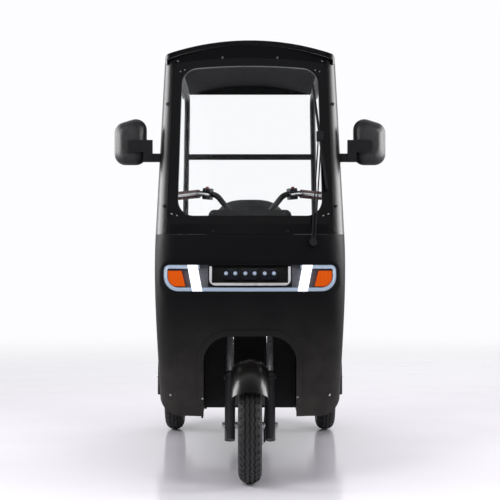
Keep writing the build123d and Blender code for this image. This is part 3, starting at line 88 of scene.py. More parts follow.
# %% [markdown]
# ## Shader maths as Python
#
# A material is a graph of nodes. Joining each node by hand hides the idea behind the
# wiring, so a small class stands for one value in the graph: adding or multiplying two
# of them adds the Math node for it, and formulas read as they would on paper. Every
# other node comes from one method that takes its type, its settings and what its sockets
# hold.

# %% Values that wire themselves
def join(tree, value, socket):
    """Links a signal to a socket, or writes a plain value into it."""
    if isinstance(value, Signal):
        tree.links.new(value.socket, socket)
    elif hasattr(value, "__len__") and len(value) == 3 and len(socket.default_value) == 4:
        socket.default_value = (*value, 1)
    else:
        socket.default_value = value


class Signal:
    """One number, vector or colour on its way through a material."""

    def __init__(self, tree, socket):
        self.tree = tree
        self.socket = socket

    def math(self, operation, *others):
        """The Math node for an operation on this value and others."""
        made = self.tree.nodes.new("ShaderNodeMath")
        made.operation = operation
        for place, value in enumerate((self, *others)):
            join(self.tree, value, made.inputs[place])
        return Signal(self.tree, made.outputs[0])

    def __add__(self, other):
        return self.math("ADD", other)

    def __sub__(self, other):
        return self.math("SUBTRACT", other)

    def __mul__(self, other):
        return self.math("MULTIPLY", other)

    def __truediv__(self, other):
        return self.math("DIVIDE", other)

    def __rsub__(self, other):
        return self.math("MULTIPLY_ADD", -1, other)

    def __rtruediv__(self, other):
        return self.math("POWER", -1) * other

    def __pow__(self, other):
        return self.math("POWER", other)

    def __abs__(self):
        return self.math("ABSOLUTE")

    def __or__(self, other):
        return self.math("MAXIMUM", other)

    def wave(self, length):
        """A sine that repeats every length, from -1 to 1."""
        return (self * (2 * pi / length)).math("SINE")

    def step(self, low, high):
        """0 below low, 1 above high and a smooth change between them."""
        return Graph(self.tree).node(
            "ShaderNodeMapRange", {"interpolation_type": "SMOOTHSTEP"},
            {"Value": self, "From Min": low, "From Max": high}, "Result")

    def beside(self, output):
        """Another output of the node that this value comes from."""
        return Signal(self.tree, self.socket.node.outputs[output])

    __radd__ = __add__
    __rmul__ = __mul__


class Graph:
    """A tree of nodes, with one way to add any node to it."""

    def __init__(self, tree):
        self.tree = tree

    def node(self, kind, settings=None, inputs=None, output=0):
        """Any node: its type, its settings, what its sockets hold, and the output."""
        made = self.tree.nodes.new(kind)
        for name, value in (settings or {}).items():
            setattr(made, name, value)
        for name, value in (inputs or {}).items():
            join(self.tree, value, made.inputs[name])
        return Signal(self.tree, made.outputs[output])


# %% A material in the making
class Finish(Graph):
    """A material with its Principled shader and the patterns that feed it."""

    def __init__(self, name, **sockets):
        self.material = bpy.data.materials.new(name)
        self.material.use_nodes = True
        super().__init__(self.material.node_tree)
        self.shader = self.tree.nodes["Principled BSDF"]
        self.place = self.node("ShaderNodeTexCoord", output="Object")
        self.x = self.node("ShaderNodeSeparateXYZ", None, {"Vector": self.place}, "X")
        self.y, self.z = self.x.beside("Y"), self.x.beside("Z")
        self.set(**sockets)

    def mixed(self, share, other):
        """Sends the material a mix of its own shader and another one."""
        both = self.node("ShaderNodeMixShader", None,
                         {0: share, 1: Signal(self.tree, self.shader.outputs[0]),
                          2: other})
        self.tree.links.new(both.socket,
                            self.tree.nodes["Material Output"].inputs["Surface"])

    def set(self, **sockets):
        """Feeds the Principled shader; an underscore stands for a space."""
        for name, value in sockets.items():
            join(self.tree, value, self.shader.inputs[name.replace("_", " ")])

    def noise(self, scale, detail=2.0, roughness=0.5, stretch=None):
        """Soft random grey; stretch squeezes it along an axis, for grain and ribs."""
        place = self.place
        if stretch:
            place = self.node("ShaderNodeMapping", None,
                              {"Vector": self.place, "Scale": stretch})
        return self.node("ShaderNodeTexNoise", None,
                         {"Vector": place, "Scale": scale, "Detail": detail,
                          "Roughness": roughness}, "Fac")

    def cells(self, scale, feature="F1"):
        """Random cells, for leather grain and pebbled mouldings."""
        return self.node("ShaderNodeTexVoronoi", {"feature": feature},
                         {"Vector": self.place, "Scale": scale}, "Distance")

    def blend(self, first, second, share):
        """A colour part of the way from one to another."""
        return self.node("ShaderNodeMix", {"data_type": "RGBA"},
                         {"Factor": share, 6: first, 7: second}, 2)

    def relief(self, height, depth):
        """Raises the surface by a height pattern, its full range depth metres deep."""
        bump = self.node("ShaderNodeBump", None,
                         {"Height": height, "Distance": depth, "Strength": 1.0})
        self.set(Normal=bump)


def scaled(tone, factor):
    """A lighter or darker version of a colour."""
    return tuple(value * factor for value in tone)


def shade(red, green, blue):
    """A colour as a picture shows it, turned to the linear numbers a shader needs."""
    def linear(value):
        value = value / 255
        return value / 12.92 if value <= 0.04045 else ((value + 0.055) / 1.055) ** 2.4
    return (linear(red), linear(green), linear(blue))


print("shader helpers ready")

# %% [markdown]
# ## Backdrop, floor and lamps
#
# The vehicle stands on a pale polished floor that runs into a white surround. More light
# would whiten the surround but also the black paint. So the world is white only to
# camera, glossy and transmission rays, and the floor fades into it at its rim. Paint that
# faces the camera sees little of that white; what looks back past the vehicle sees more.

# %% The world
world = bpy.data.worlds.new("studio_world")
bpy.context.scene.world = world
world.use_nodes = True
surround = Graph(world.node_tree)
seen = surround.node("ShaderNodeLightPath", output="Is Camera Ray")
glossy, through = seen.beside("Is Glossy Ray"), seen.beside("Is Transmission Ray")
heading = surround.node("ShaderNodeSeparateXYZ", None, {"Vector": surround.node(
    "ShaderNodeTexCoord", output="Generated")}, "Y")
rearward = heading.step(-0.25, 0.35)
sky = heading.beside("Z").step(-0.1, 0.9)
level = (seen | through) | (glossy * (0.03 + rearward * 0.85 + sky * 0.12))
daylight = (1 - (glossy | seen | through)) * 0.52
background = world.node_tree.nodes["Background"]
join(world.node_tree, (0.985, 0.98, 1.0), background.inputs["Color"])
join(world.node_tree, level | daylight, background.inputs["Strength"])
bpy.context.scene.view_settings.view_transform = "Standard"
print("world ready")

# %% The floor
floor_mesh = bpy.data.meshes.new("studio_floor")
floor_shape = bmesh.new()
floor_radius = 9
bmesh.ops.create_circle(floor_shape, cap_ends=True, segments=96, radius=floor_radius)
floor_shape.to_mesh(floor_mesh)
floor_shape.free()
floor = bpy.data.objects.new("studio_floor", floor_mesh)
bpy.context.scene.collection.objects.link(floor)

polished = Finish("polished_floor", Roughness=0.2, Specular_IOR_Level=0.08)
veil = polished.noise(0.7, 3)
polished.set(Base_Color=polished.blend(shade(216, 213, 220), shade(231, 228, 235), veil),
             Roughness=0.09 + polished.noise(2.5, 4) * 0.12)
reach = polished.node("ShaderNodeVectorMath", {"operation": "LENGTH"},
                      {0: polished.place}, "Value")
polished.mixed(reach.step(1.4, 8.2), polished.node("ShaderNodeBsdfTransparent"))
floor.data.materials.append(polished.material)
print("floor", len(floor.data.polygons), "face")

# %% [markdown]
# ## Lamps
#
# Large flat lamps give soft shadows. Black paint shows its form by what it mirrors, so
# pale panels stand beside the vehicle to draw the light lines down the pillars and the
# mirrors. A panel that also lit the scene would turn the black grey, so these show in
# reflections only, and light linking keeps them off the polished floor.

# %% The lamps
all_but_floor = bpy.data.collections.new("all_but_floor")
all_but_floor.objects.link(floor)
all_but_floor.collection_objects[0].light_linking.link_state = "EXCLUDE"
only_mirrors = bpy.data.collections.new("only_mirrors")


def softbox(name, place, aim, width, height, watts, mirrored_in=None):
    """A large flat lamp: it lights the scene, or is only mirrored in a collection."""
    data = bpy.data.lights.new(name, "AREA")
    data.shape = "RECTANGLE"
    data.size = width
    data.size_y = height
    data.energy = watts
    lamp = bpy.data.objects.new(name, data)
    lamp.location = place
    lamp.rotation_euler = (Vector(aim) - Vector(place)).to_track_quat("-Z", "Y").to_euler()
    bpy.context.scene.collection.objects.link(lamp)
    lamp.visible_camera = False
    lamp.visible_glossy = mirrored_in is not None
    lamp.visible_diffuse = mirrored_in is None
    lamp.light_linking.receiver_collection = mirrored_in


for name, place, aim, width, height, watts in (
        ("key_lamp", (-2.8, -4.2, 4.2), (0, -0.6, 0.8), 2.6, 2.6, 120),
        ("fill_lamp", (3.4, -4.4, 2.4), (0, -0.6, 0.9), 2.2, 2.2, 55),
        ("top_lamp", (0, 0.2, 4.6), (0, 0, 0), 3.2, 4.2, 90),
        ("left_lamp", (-2.9, -0.9, 2.4), (0, -0.5, 0.8), 0.9, 1.6, 40),
        ("right_lamp", (2.9, -0.9, 2.4), (0, -0.5, 0.8), 0.9, 1.6, 40)):
    softbox(name, place, aim, width, height, watts)
for name, place, aim, width, height, watts in (
        ("left_reflection", (-3.1, 0.7, 2.2), (0, -0.4, 2.2), 2.0, 2.4, 150),
        ("right_reflection", (3.1, 0.7, 2.2), (0, -0.4, 2.2), 2.0, 2.4, 150),
        ("lip_reflection", (0, -5.8, 3.5), (0, -0.9, 0.7), 3.0, 0.4, 20)):
    softbox(name, place, aim, width, height, watts, all_but_floor)
for name, place, aim, width, height, watts in (
        ("left_sheen", (-3.1, -1.9, 1.5), (0, -0.6, 1.2), 2.8, 2.6, 520),
        ("right_sheen", (3.1, -1.9, 1.5), (0, -0.6, 1.2), 2.8, 2.6, 640)):
    softbox(name, place, aim, width, height, watts, only_mirrors)
softbox("rear_lamp", (1.6, 4.2, 3.2), (0, 0.6, 0.8), 2.4, 2.4, 60)

# %% [markdown]
# ## Paint
#
# Black is never one black. Sprayed panels have a faint orange peel, and low down they pale
# to grey, partly with dust and partly with a painted reflection of the floor. The nose also
# has a rolled lip round its lamps and two joints in its apron.
# Those are a few millimetres at most, so they are a height pattern here and not geometry.
# Each finish is a pattern on the object's own coordinates, so it stays put from every
# side.

# %% Painted panels
def satin_paint(name, tone, gloss, dust_and_sheen, shine):
    """Sprayed satin paint with orange peel, paler low down with dust and a painted floor
    reflection.
    """
    paint = Finish(name, Specular_IOR_Level=shine)
    cloud = paint.noise(4, 3)
    # Low down the paint pales to grey: part dust, part a painted reflection of the pale
    # floor.
    low = 1 - paint.z.step(0.22, 0.75)
    dust_and_floor_sheen = low * paint.noise(9, 6, 0.7) * dust_and_sheen
    sprayed = paint.blend(scaled(tone, 0.8), scaled(tone, 1.3), cloud)
    paint.set(Base_Color=paint.blend(sprayed, shade(96, 92, 88), dust_and_floor_sheen),
              Roughness=gloss + cloud * 0.06 + dust_and_floor_sheen * 0.35)
    paint.relief(paint.noise(170, 2) + paint.noise(900, 1) * 0.3, 0.00012)
    return paint


def with_nose_lines(paint):
    """Adds the rolled lip round the lamp band and the joints of the lower apron."""
    band_reach, band_level, band_rise, band_corner = 0.283, 0.738, 0.018, 0.030
    past_x = (abs(paint.x) - band_reach) | 0.0
    past_z = (abs(paint.z - band_level) - band_rise) | 0.0
    outside = (past_x * past_x + past_z * past_z) ** 0.5 - band_corner
    lip = outside.step(-0.002, 0.018)
    ahead = 1 - paint.y.step(-0.80, -0.74)
    joint_place, apron_level = 0.150, 0.325
    joint = 1 - (abs(abs(paint.x) - joint_place)).step(0.0006, 0.0016)
    joint = joint * (1 - paint.z.step(apron_level, apron_level + 0.005)) * ahead
    peel = paint.noise(170, 2) * 0.03
    paint.relief((lip * ahead) - joint * 0.4 + peel, 0.0040)
    return paint.material


body_black = with_nose_lines(satin_paint(
    "body_black", shade(13, 13, 15), gloss=0.46, dust_and_sheen=0.42, shine=0.07))
hood_black = satin_paint(
    "hood_black", shade(8, 8, 10), gloss=0.28, dust_and_sheen=0.1, shine=0.22).material
print("paint ready")

# %% [markdown]
# ## Mouldings and metal
#
# Bare plastic takes the pebbled grain of its mould, powder-coated tube a coarse orange
# peel, and plated metal fine streaks with a little tarnish. One function for each kind
# keeps their grain alike, while tone and gloss differ from part to part.

# %% Mouldings
def grained_moulding(name, tone, gloss, grain=650):
    """Unpainted plastic with a pebbled grain."""
    moulding = Finish(name, Specular_IOR_Level=0.25)
    cloud = moulding.noise(6, 3)
    pebbles = moulding.cells(grain)
    moulding.set(Base_Color=moulding.blend(tone, scaled(tone, 1.45),
                                           cloud * 0.7 + pebbles * 0.3),
                 Roughness=gloss + cloud * 0.1)
    moulding.relief(pebbles, 0.0003)
    return moulding.material


trim_black = grained_moulding("trim_black", shade(24, 23, 25), gloss=0.34)
cable_black = grained_moulding("cable_black", shade(19, 19, 20), gloss=0.42, grain=1200)
print("mouldings ready")


# %% Coated and bare metal
def coated_steel(name, tone, gloss=0.42):
    """Powder coat: a fine orange peel over tube and plate."""
    coat = Finish(name, Specular_IOR_Level=0.25)
    cloud = coat.noise(7, 3)
    coat.set(Base_Color=coat.blend(tone, scaled(tone, 1.4), cloud),
             Roughness=gloss + cloud * 0.12)
    coat.relief(coat.noise(700, 3, 0.6), 0.0002)
    return coat.material


def bare_metal(name, tone, gloss, streaks=(1, 1, 14), metallic=1.0):
    """Plated or machined metal with fine streaks and a little tarnish."""
    metal = Finish(name, Metallic=metallic)
    grain = metal.noise(240, 2, 0.5, streaks)
    stain = metal.noise(18, 4)
    metal.set(Base_Color=metal.blend(tone, scaled(tone, 0.62), stain.step(0.45, 0.8)),
              Roughness=gloss + grain * 0.1 + stain.step(0.5, 0.85) * 0.15)
    metal.relief(grain, 0.00004)
    return metal.material


frame_black = coated_steel("frame_black", shade(20, 20, 22))
fork_black = coated_steel("fork_black", shade(38, 38, 41), gloss=0.34)
rim_alloy = coated_steel("rim_alloy", shade(58, 59, 62), gloss=0.34)
fork_chrome = bare_metal("fork_chrome", (0.80, 0.80, 0.82), gloss=0.12, metallic=0.8)
axle_steel = bare_metal("axle_steel", (0.56, 0.56, 0.57), gloss=0.3)
bezel_silver = bare_metal("bezel_silver", (0.78, 0.79, 0.81), gloss=0.3,
                          streaks=(1, 1, 1), metallic=0.5)
motor_alloy = bare_metal("motor_alloy", (0.50, 0.51, 0.53), gloss=0.42,
                         streaks=(1, 1, 1))
print("metals ready")

# %% [markdown]
# ## Rubber, lenses and lamp finishes
#
# Tyre rubber is dull and uneven. A lens is clear plastic over fine flutes that spread
# the light. Glass with the flutes behind it would need many rays, so a lens here is an
# opaque skin: its flutes are a stripe in colour and height, it glows a little by itself,
# and a clear coat gives the shine.

# %% Tyre rubber
def tyre_rubber_finish():
    """Tread rubber: dull, with a patchy tone and a fine grain."""
    rubber = Finish("tyre_rubber", Specular_IOR_Level=0.35)
    cloud = rubber.noise(30, 4, 0.6)
    rubber.set(Base_Color=rubber.blend(shade(23, 23, 24), shade(50, 49, 49), cloud),
               Roughness=0.55 + cloud * 0.25)
    rubber.relief(rubber.noise(420, 4, 0.7) + rubber.noise(60, 2) * 0.4, 0.0004)
    return rubber.material


tyre_rubber = tyre_rubber_finish()
print("rubber ready")


# %% Gloss mouldings and lenses
def gloss_moulding(name, tone, gloss, coat):
    """A polished moulding with a clear skin."""
    moulding = Finish(name, Coat_Weight=coat, Coat_Roughness=0.05,
                      Specular_IOR_Level=0.25)
    cloud = moulding.noise(9, 3)
    moulding.set(Base_Color=moulding.blend(tone, scaled(tone, 1.35), cloud),
                 Roughness=gloss + cloud * 0.08)
    moulding.relief(moulding.noise(90, 2), 0.00008)
    return moulding.material


def lamp_moulding(name, tone, glow, pitch, coat=0.8, shine=0.5, gloss=0.18):
    """A lens with optic flutes behind its surface and a soft glow of its own."""
    lens = Finish(name, Coat_Weight=coat, Coat_Roughness=0.03, Roughness=gloss,
                  Emission_Strength=glow, Specular_IOR_Level=shine)
    flutes = lens.x.wave(pitch) * 0.5 + 0.5
    deep = scaled(tone, 0.72)
    lens.set(Base_Color=lens.blend(deep, tone, flutes),
             Emission_Color=lens.blend(deep, tone, flutes * 0.6 + 0.4))
    lens.relief(flutes, 0.0003)
    return lens.material


guard_gloss = gloss_moulding("guard_gloss", shade(12, 11, 10), gloss=0.24, coat=0.15)
light_guide = lamp_moulding("light_guide", shade(158, 174, 194), glow=0.16, pitch=0.0025)
amber_lens = lamp_moulding("amber_lens", shade(204, 80, 12), glow=0.14, pitch=0.005,
                           coat=0.02, shine=0.04, gloss=0.5)
red_lens = lamp_moulding("red_lens", shade(160, 14, 16), glow=0.1, pitch=0.005)


def headlamp_finish():
    """White slanted blocks outboard, smoked units inboard."""
    lens = Finish("lamp_lens", Coat_Weight=0.25, Coat_Roughness=0.05,
                  Emission_Strength=0.9, Specular_IOR_Level=0.25)
    smoked_reach = 0.125
    outer = abs(lens.x).step(smoked_reach, smoked_reach + 0.005)
    flutes = lens.x.wave(0.006) * 0.5 + 0.5
    white = lens.blend(shade(214, 220, 230), shade(250, 250, 252), flutes)
    smoke = lens.blend(shade(12, 13, 18), shade(26, 28, 36), lens.noise(60, 3))
    lens.set(Base_Color=lens.blend(smoke, white, outer),
             Emission_Color=lens.blend(shade(0, 0, 2), shade(236, 240, 248), outer),
             Roughness=0.14 + lens.noise(200, 2) * 0.08)
    lens.relief(flutes * outer + lens.noise(300, 2) * 0.2, 0.0003)
    return lens.material


lamp_lens = headlamp_finish()
print("lenses ready")

# %% [markdown]
# ## Panel, mat, liner, leather and grips
#
# These surfaces are known by touch: ribs under the feet, a ribbed liner overhead,
# creased leather, small diamonds under the hands. Each gets its height from a pattern at
# the real pitch, and its colour and gloss from a softer cloud, as wear and dust do it.
# The liner's colour also follows its ribs, as painted shade in the grooves.

# %% Speckled lamp panel, mats and cloth
def speckled_panel():
    """Metal-flake paint behind the lamps: bright specks in dark grey."""
    panel = Finish("lamp_grey", Metallic=0.35)
    flake = panel.cells(1500)
    cloud = panel.noise(12, 3)
    bar_reach, bar_level, bar_rise = 0.150, 0.746, 0.039
    past_bar = (abs(panel.x).step(bar_reach, bar_reach + 0.001)
                | abs(panel.z - bar_level).step(bar_rise, bar_rise + 0.001))
    flaked = panel.blend(shade(120, 120, 126), shade(62, 62, 67), flake)
    panel.set(Base_Color=panel.blend(shade(12, 12, 14), flaked, past_bar),
              Roughness=0.34 + cloud * 0.12)
    panel.relief(flake, 0.0001)
    return panel.material


def ribbed_mat():
    """A rubber mat with fine ribs from front to back."""
    mat = Finish("floor_mat", Specular_IOR_Level=0.3)
    ribs = mat.x.wave(0.009) * 0.5 + 0.5
    scuff = mat.noise(16, 5, 0.6)
    mat.set(Base_Color=mat.blend(shade(30, 30, 31), shade(62, 60, 58), scuff * ribs),
            Roughness=0.62 + scuff * 0.2)
    mat.relief(ribs + mat.noise(500, 2) * 0.2, 0.0009)
    return mat.material


def ribbed_liner():
    """The roof liner: a dark cloth over fine ribs that run to the back."""
    liner = Finish("liner_grey", Sheen_Weight=0.02, Specular_IOR_Level=0.1)
    ribs = liner.x.wave(0.0085) * 0.5 + 0.5
    fuzz = liner.noise(900, 2)
    # Colour that follows the ribs is painted shade in the grooves and a painted highlight
    # on the crests; the fuzz is the cloth's own.
    liner.set(Base_Color=liner.blend(shade(13, 13, 15), shade(30, 30, 33),
                                     ribs * 0.7 + fuzz * 0.3),
              Roughness=0.8 + fuzz * 0.1)
    liner.relief(ribs + fuzz * 0.15, 0.0011)
    return liner.material


def soft_leather():
    """Seat leather: small creased cells under a dull shine."""
    hide = Finish("seat_leather", Specular_IOR_Level=0.28)
    grain = hide.cells(520, "DISTANCE_TO_EDGE")
    cloud = hide.noise(7, 4)
    hide.set(Base_Color=hide.blend(shade(26, 26, 28), shade(46, 46, 49), cloud),
             Roughness=0.46 + cloud * 0.16)
    hide.relief(grain.step(0.0, 0.25) + hide.noise(40, 3) * 0.3, 0.0005)
    return hide.material


def moulded_grip():
    """Grip rubber: rows of small raised diamonds."""
    grip = Finish("grip_brown", Specular_IOR_Level=0.12)
    diamonds = (grip.x.wave(0.006) * (grip.z + grip.y).wave(0.006)) * 0.5 + 0.5
    cloud = grip.noise(25, 3)
    grip.set(Base_Color=grip.blend(shade(62, 46, 46), shade(98, 78, 77), cloud),
             Roughness=0.55 + cloud * 0.15)
    grip.relief(diamonds, 0.0008)
    return grip.material


lamp_grey = speckled_panel()
floor_mat = ribbed_mat()
liner_grey = ribbed_liner()
seat_leather = soft_leather()
grip_brown = moulded_grip()
print("panel, mat, liner, leather and grip ready")

# %% [markdown]
# ## Glass
#
# The windscreen has a black border fired onto it, which hides the glue behind. The pane
# is one solid, so its finish decides by place: inside a rounded frame it is clear, and
# outside it is black and glossy.

# %% Mirror and windscreen
def silvered():
    """Mirror glass with the faintest haze."""
    mirror = Finish("mirror_glass", Metallic=1.0, Base_Color=(0.86, 0.88, 0.89))
    mirror.set(Roughness=0.02 + mirror.noise(8, 3) * 0.03)
    return mirror.material


def bordered_glass():
    """A clear pane with a fired black border."""
    pane = Finish("window_glass", Transmission_Weight=1.0, IOR=1.1,
                  Base_Color=(0.95, 0.97, 0.97), Specular_IOR_Level=0.04)
    clear_foot, clear_top, clear_reach, corner = 0.964, 1.537, 0.266, 0.06
    share = (pane.z - clear_foot) / (clear_top - clear_foot)
    side = abs(pane.x) - (clear_reach - share * 0.008)
    top = pane.z - (clear_top - pane.x * pane.x * 0.17)
    foot = clear_foot - pane.z
    corner_x = (side + corner) | 0.0
    corner_z = ((top | foot) + corner) | 0.0
    arc = (corner_x * corner_x + corner_z * corner_z) ** 0.5 - corner
    border = (arc | ((side | top) | foot)).step(-0.001, 0.001)
    smear = pane.noise(14, 4)
    pane.set(Roughness=0.01 + smear.step(0.55, 0.9) * 0.03)
    fired = pane.node("ShaderNodeBsdfPrincipled", None,
                      {"Base Color": shade(8, 8, 10), "Roughness": 0.06,
                       "Coat Weight": 0.5, "Coat Roughness": 0.03}, "BSDF")
    pane.mixed(border, fired)
    return pane.material


mirror_glass = silvered()
window_glass = bordered_glass()
print("glass ready")

# %% [markdown]
# ## A finish for every solid
#
# Every solid takes one of the materials made above. A second list of solids and finishes
# could be typed here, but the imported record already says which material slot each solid
# takes. So the slot's name picks the material of the same name, and one list is enough.

# %% Materials on the solids
finishes = {
    "body_black": body_black, "hood_black": hood_black, "trim_black": trim_black,
    "frame_black": frame_black, "window_glass": window_glass,
    "mirror_glass": mirror_glass, "tyre_rubber": tyre_rubber, "rim_alloy": rim_alloy,
    "fork_chrome": fork_chrome, "fork_black": fork_black, "axle_steel": axle_steel,
    "guard_gloss": guard_gloss, "lamp_lens": lamp_lens, "light_guide": light_guide,
    "amber_lens": amber_lens, "red_lens": red_lens, "bezel_silver": bezel_silver,
    "lamp_grey": lamp_grey, "seat_leather": seat_leather, "grip_brown": grip_brown,
    "cable_black": cable_black, "floor_mat": floor_mat, "liner_grey": liner_grey,
    "motor_alloy": motor_alloy,
}
for row in frame["record"]["subparts"]:
    solid = nodes[row["node"]]
    solid.data.materials.clear()
    solid.data.materials.append(finishes[row["material_slot"]])

# %% [markdown]
# ## Finished pieces
#
# Every piece made here ends as a plain mesh whose object sits at the origin, unturned,
# because its patterns read the object's own coordinates. One helper puts a mesh into the
# scene, turns its faces outwards, gives it a finish and ties it to a moving body.

# %% A helper for finished pieces
def finished(shape, name, body, finish, smooth=False, replaces=(), weld=0.00001):
    """Makes a piece from a bmesh, dresses it and lets it ride on a body."""
    bmesh.ops.remove_doubles(shape, verts=shape.verts, dist=weld)
    bmesh.ops.recalc_face_normals(shape, faces=shape.faces)
    mesh = bpy.data.meshes.new(name)
    shape.to_mesh(mesh)
    shape.free()
    mesh.materials.append(finishes[finish])
    mesh.polygons.foreach_set("use_smooth", [smooth] * len(mesh.polygons))
    piece = bpy.data.objects.new(name, mesh)
    bpy.context.scene.collection.objects.link(piece)
    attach(piece, body)
    if replaces:
        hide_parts(*replaces)
    print(name, len(mesh.polygons), "faces on", body)
    return piece


def arc_points(start, middle, end, steps):
    """Points on the circle through three points, without the last one."""
    (ax, ay), (bx, by), (cx, cy) = start, middle, end
    twice = 2 * (ax * (by - cy) + bx * (cy - ay) + cx * (ay - by))
    a2, b2, c2 = ax * ax + ay * ay, bx * bx + by * by, cx * cx + cy * cy
    ux = (a2 * (by - cy) + b2 * (cy - ay) + c2 * (ay - by)) / twice
    uy = (a2 * (cx - bx) + b2 * (ax - cx) + c2 * (bx - ax)) / twice
    radius = hypot(ax - ux, ay - uy)
    first, mid, last = (atan2(y - uy, x - ux) for x, y in (start, middle, end))
    turn = (last - first) % (2 * pi)
    if (mid - first) % (2 * pi) > turn:
        turn -= 2 * pi
    return [(ux + radius * cos(first + turn * i / steps),
             uy + radius * sin(first + turn * i / steps)) for i in range(steps)]


def ring_surface(shape, rings, closed_path=False):
    """Joins closed rings of points with quads; the path of rings may close too."""
    made = [[shape.verts.new(point) for point in ring] for ring in rings]
    pairs = list(zip(made, made[1:])) + ([(made[-1], made[0])] if closed_path else [])
    for near, far in pairs:
        count = len(near)
        for i in range(count):
            j = (i + 1) % count
            shape.faces.new((near[i], near[j], far[j], far[i]))
    return made


def capped(shape, rings):
    """A skin over rings of points with a face over each end."""
    made = ring_surface(shape, rings)
    shape.faces.new(made[0])
    shape.faces.new(made[-1])


print("piece helpers ready")

# %% [markdown]
# ## Tyres
#
# A scooter tyre has a rounded crown with grooves that zigzag round it and open lugs on
# its shoulders. The grooves could be a bump pattern, but the crown is seen edge-on
# against the floor, where a bump shows nothing. So the tread is geometry: one cross
# section is swept round the axle while the groove columns swing from side to side.

# %% A tyre's cross section
front_axle_y, rear_axle_y, rear_wheel_x = -0.866, 0.654, 0.35
tyre_radius, shoulder_radius, shoulder_reach = 0.2075, 0.194, 0.034
bead_reach, bead_radius, bead_foot = 0.028, 0.135, 0.1275
groove_places, groove_depth, groove_swing = (-0.0165, 0.0, 0.0165), 0.0052, 0.0024
groove_clear = 0.0062     # crown points nearer than this make room for a groove
gap_start, gap_end, gap_depth = 0.0235, 0.0338, 0.0042
tread_steps, steps_per_lug = 252, 6
wall_middle, wall_half = 0.165, 0.026


def tyre_section(step):
    """One cross section of the tyre as (across, radius), its grooves swung by the step."""
    bead, shoulder = (bead_reach, bead_radius), (shoulder_reach, shoulder_radius)
    wall = arc_points(bead, (0.042, 0.163), shoulder, 16)
    wall = [(x + (0.0007 if i in (4, 5, 11, 12) else 0), r)
            for i, (x, r) in enumerate(wall)]
    crown = arc_points(shoulder, (0, tyre_radius), (-shoulder_reach, shoulder_radius), 40)
    columns = [(x, 0) for x, r in crown
               if all(abs(x - place) > groove_clear for place in groove_places)]
    swing = (abs((step % steps_per_lug) - 3) / 1.5 - 1) * groove_swing
    for place in groove_places:
        for offset, deep in ((-0.0030, 0), (-0.0022, 1), (0.0022, 1), (0.0030, 0)):
            columns.append((place + offset + swing, deep))
    columns.sort(key=lambda column: -column[0])
    drop = tyre_radius - shoulder_radius
    arch = (shoulder_reach ** 2 + drop ** 2) / (2 * drop)
    tread = []
    for x, deep in columns:
        gap = gap_start < abs(x) < gap_end and step % steps_per_lug in (0, 1)
        radius = tyre_radius - arch + sqrt(arch * arch - x * x)
        tread.append((x, radius - deep * groove_depth - (gap_depth if gap else 0)))
    far_wall = [(-x, r) for x, r in reversed(wall)]
    return wall + tread + far_wall + [(-bead_reach, bead_foot), (bead_reach, bead_foot)]


print("tyre section of", len(tyre_section(0)), "points")

# %% Treaded tyres
for label, x_place, y_place, body, node in (
        ("front", 0.0, front_axle_y, "front_wheel", "front_tyre"),
        ("rear_left", -rear_wheel_x, rear_axle_y, "rear_wheel_left", "rear_tyre_left"),
        ("rear_right", rear_wheel_x, rear_axle_y, "rear_wheel_right", "rear_tyre_right")):
    carcass = bmesh.new()
    rows = []
    for step in range(tread_steps):
        angle = step * (2 * pi / tread_steps)
        rows.append([(x_place + x, y_place + r * sin(angle), tyre_radius + r * cos(angle))
                     for x, r in tyre_section(step)])
    ring_surface(carcass, rows, closed_path=True)
    tread = finished(carcass, f"{label}_tread", body, "tyre_rubber", replaces=[node],
                     weld=0.00002)
    for face in tread.data.polygons:
        from_axle = hypot(face.center.y - y_place, face.center.z - tyre_radius)
        face.use_smooth = abs(from_axle - wall_middle) < wall_half

# %% [markdown]
# ## Seats
#
# A seat pad is foam under a sewn cover. Its top crowns, its sides bulge between the
# corners and the stitched channels pull it in. The foam's bulge comes from a short cloth
# simulation with pressure inside; the channels are pressed in afterwards, since the
# remesh before the simulation would wipe them out.

# %% Reading and writing a mesh's points in one go
def points_of(mesh):
    """All vertex places as rows of numbers."""
    flat = np.empty(len(mesh.vertices) * 3)
    mesh.vertices.foreach_get("co", flat)
    return flat.reshape(-1, 3)


def normals_of(mesh):
    """All vertex normals as rows of numbers."""
    flat = np.empty(len(mesh.vertices) * 3)
    mesh.vertices.foreach_get("normal", flat)
    return flat.reshape(-1, 3)


def place_points(mesh, points):
    """Writes all vertex places back."""
    mesh.vertices.foreach_set("co", points.ravel())
    mesh.update()


print("mesh point helpers ready")


# %% Foam pads
foam_grid = 0.0065        # size of the even faces that the cloth needs
foam_frames = 20
foam_swell = 0.012        # how far a point may move


def evaluated_mesh(piece):
    """A piece's mesh with its modifiers worked out."""
    depsgraph = bpy.context.evaluated_depsgraph_get()
    return bpy.data.meshes.new_from_object(piece.evaluated_get(depsgraph))


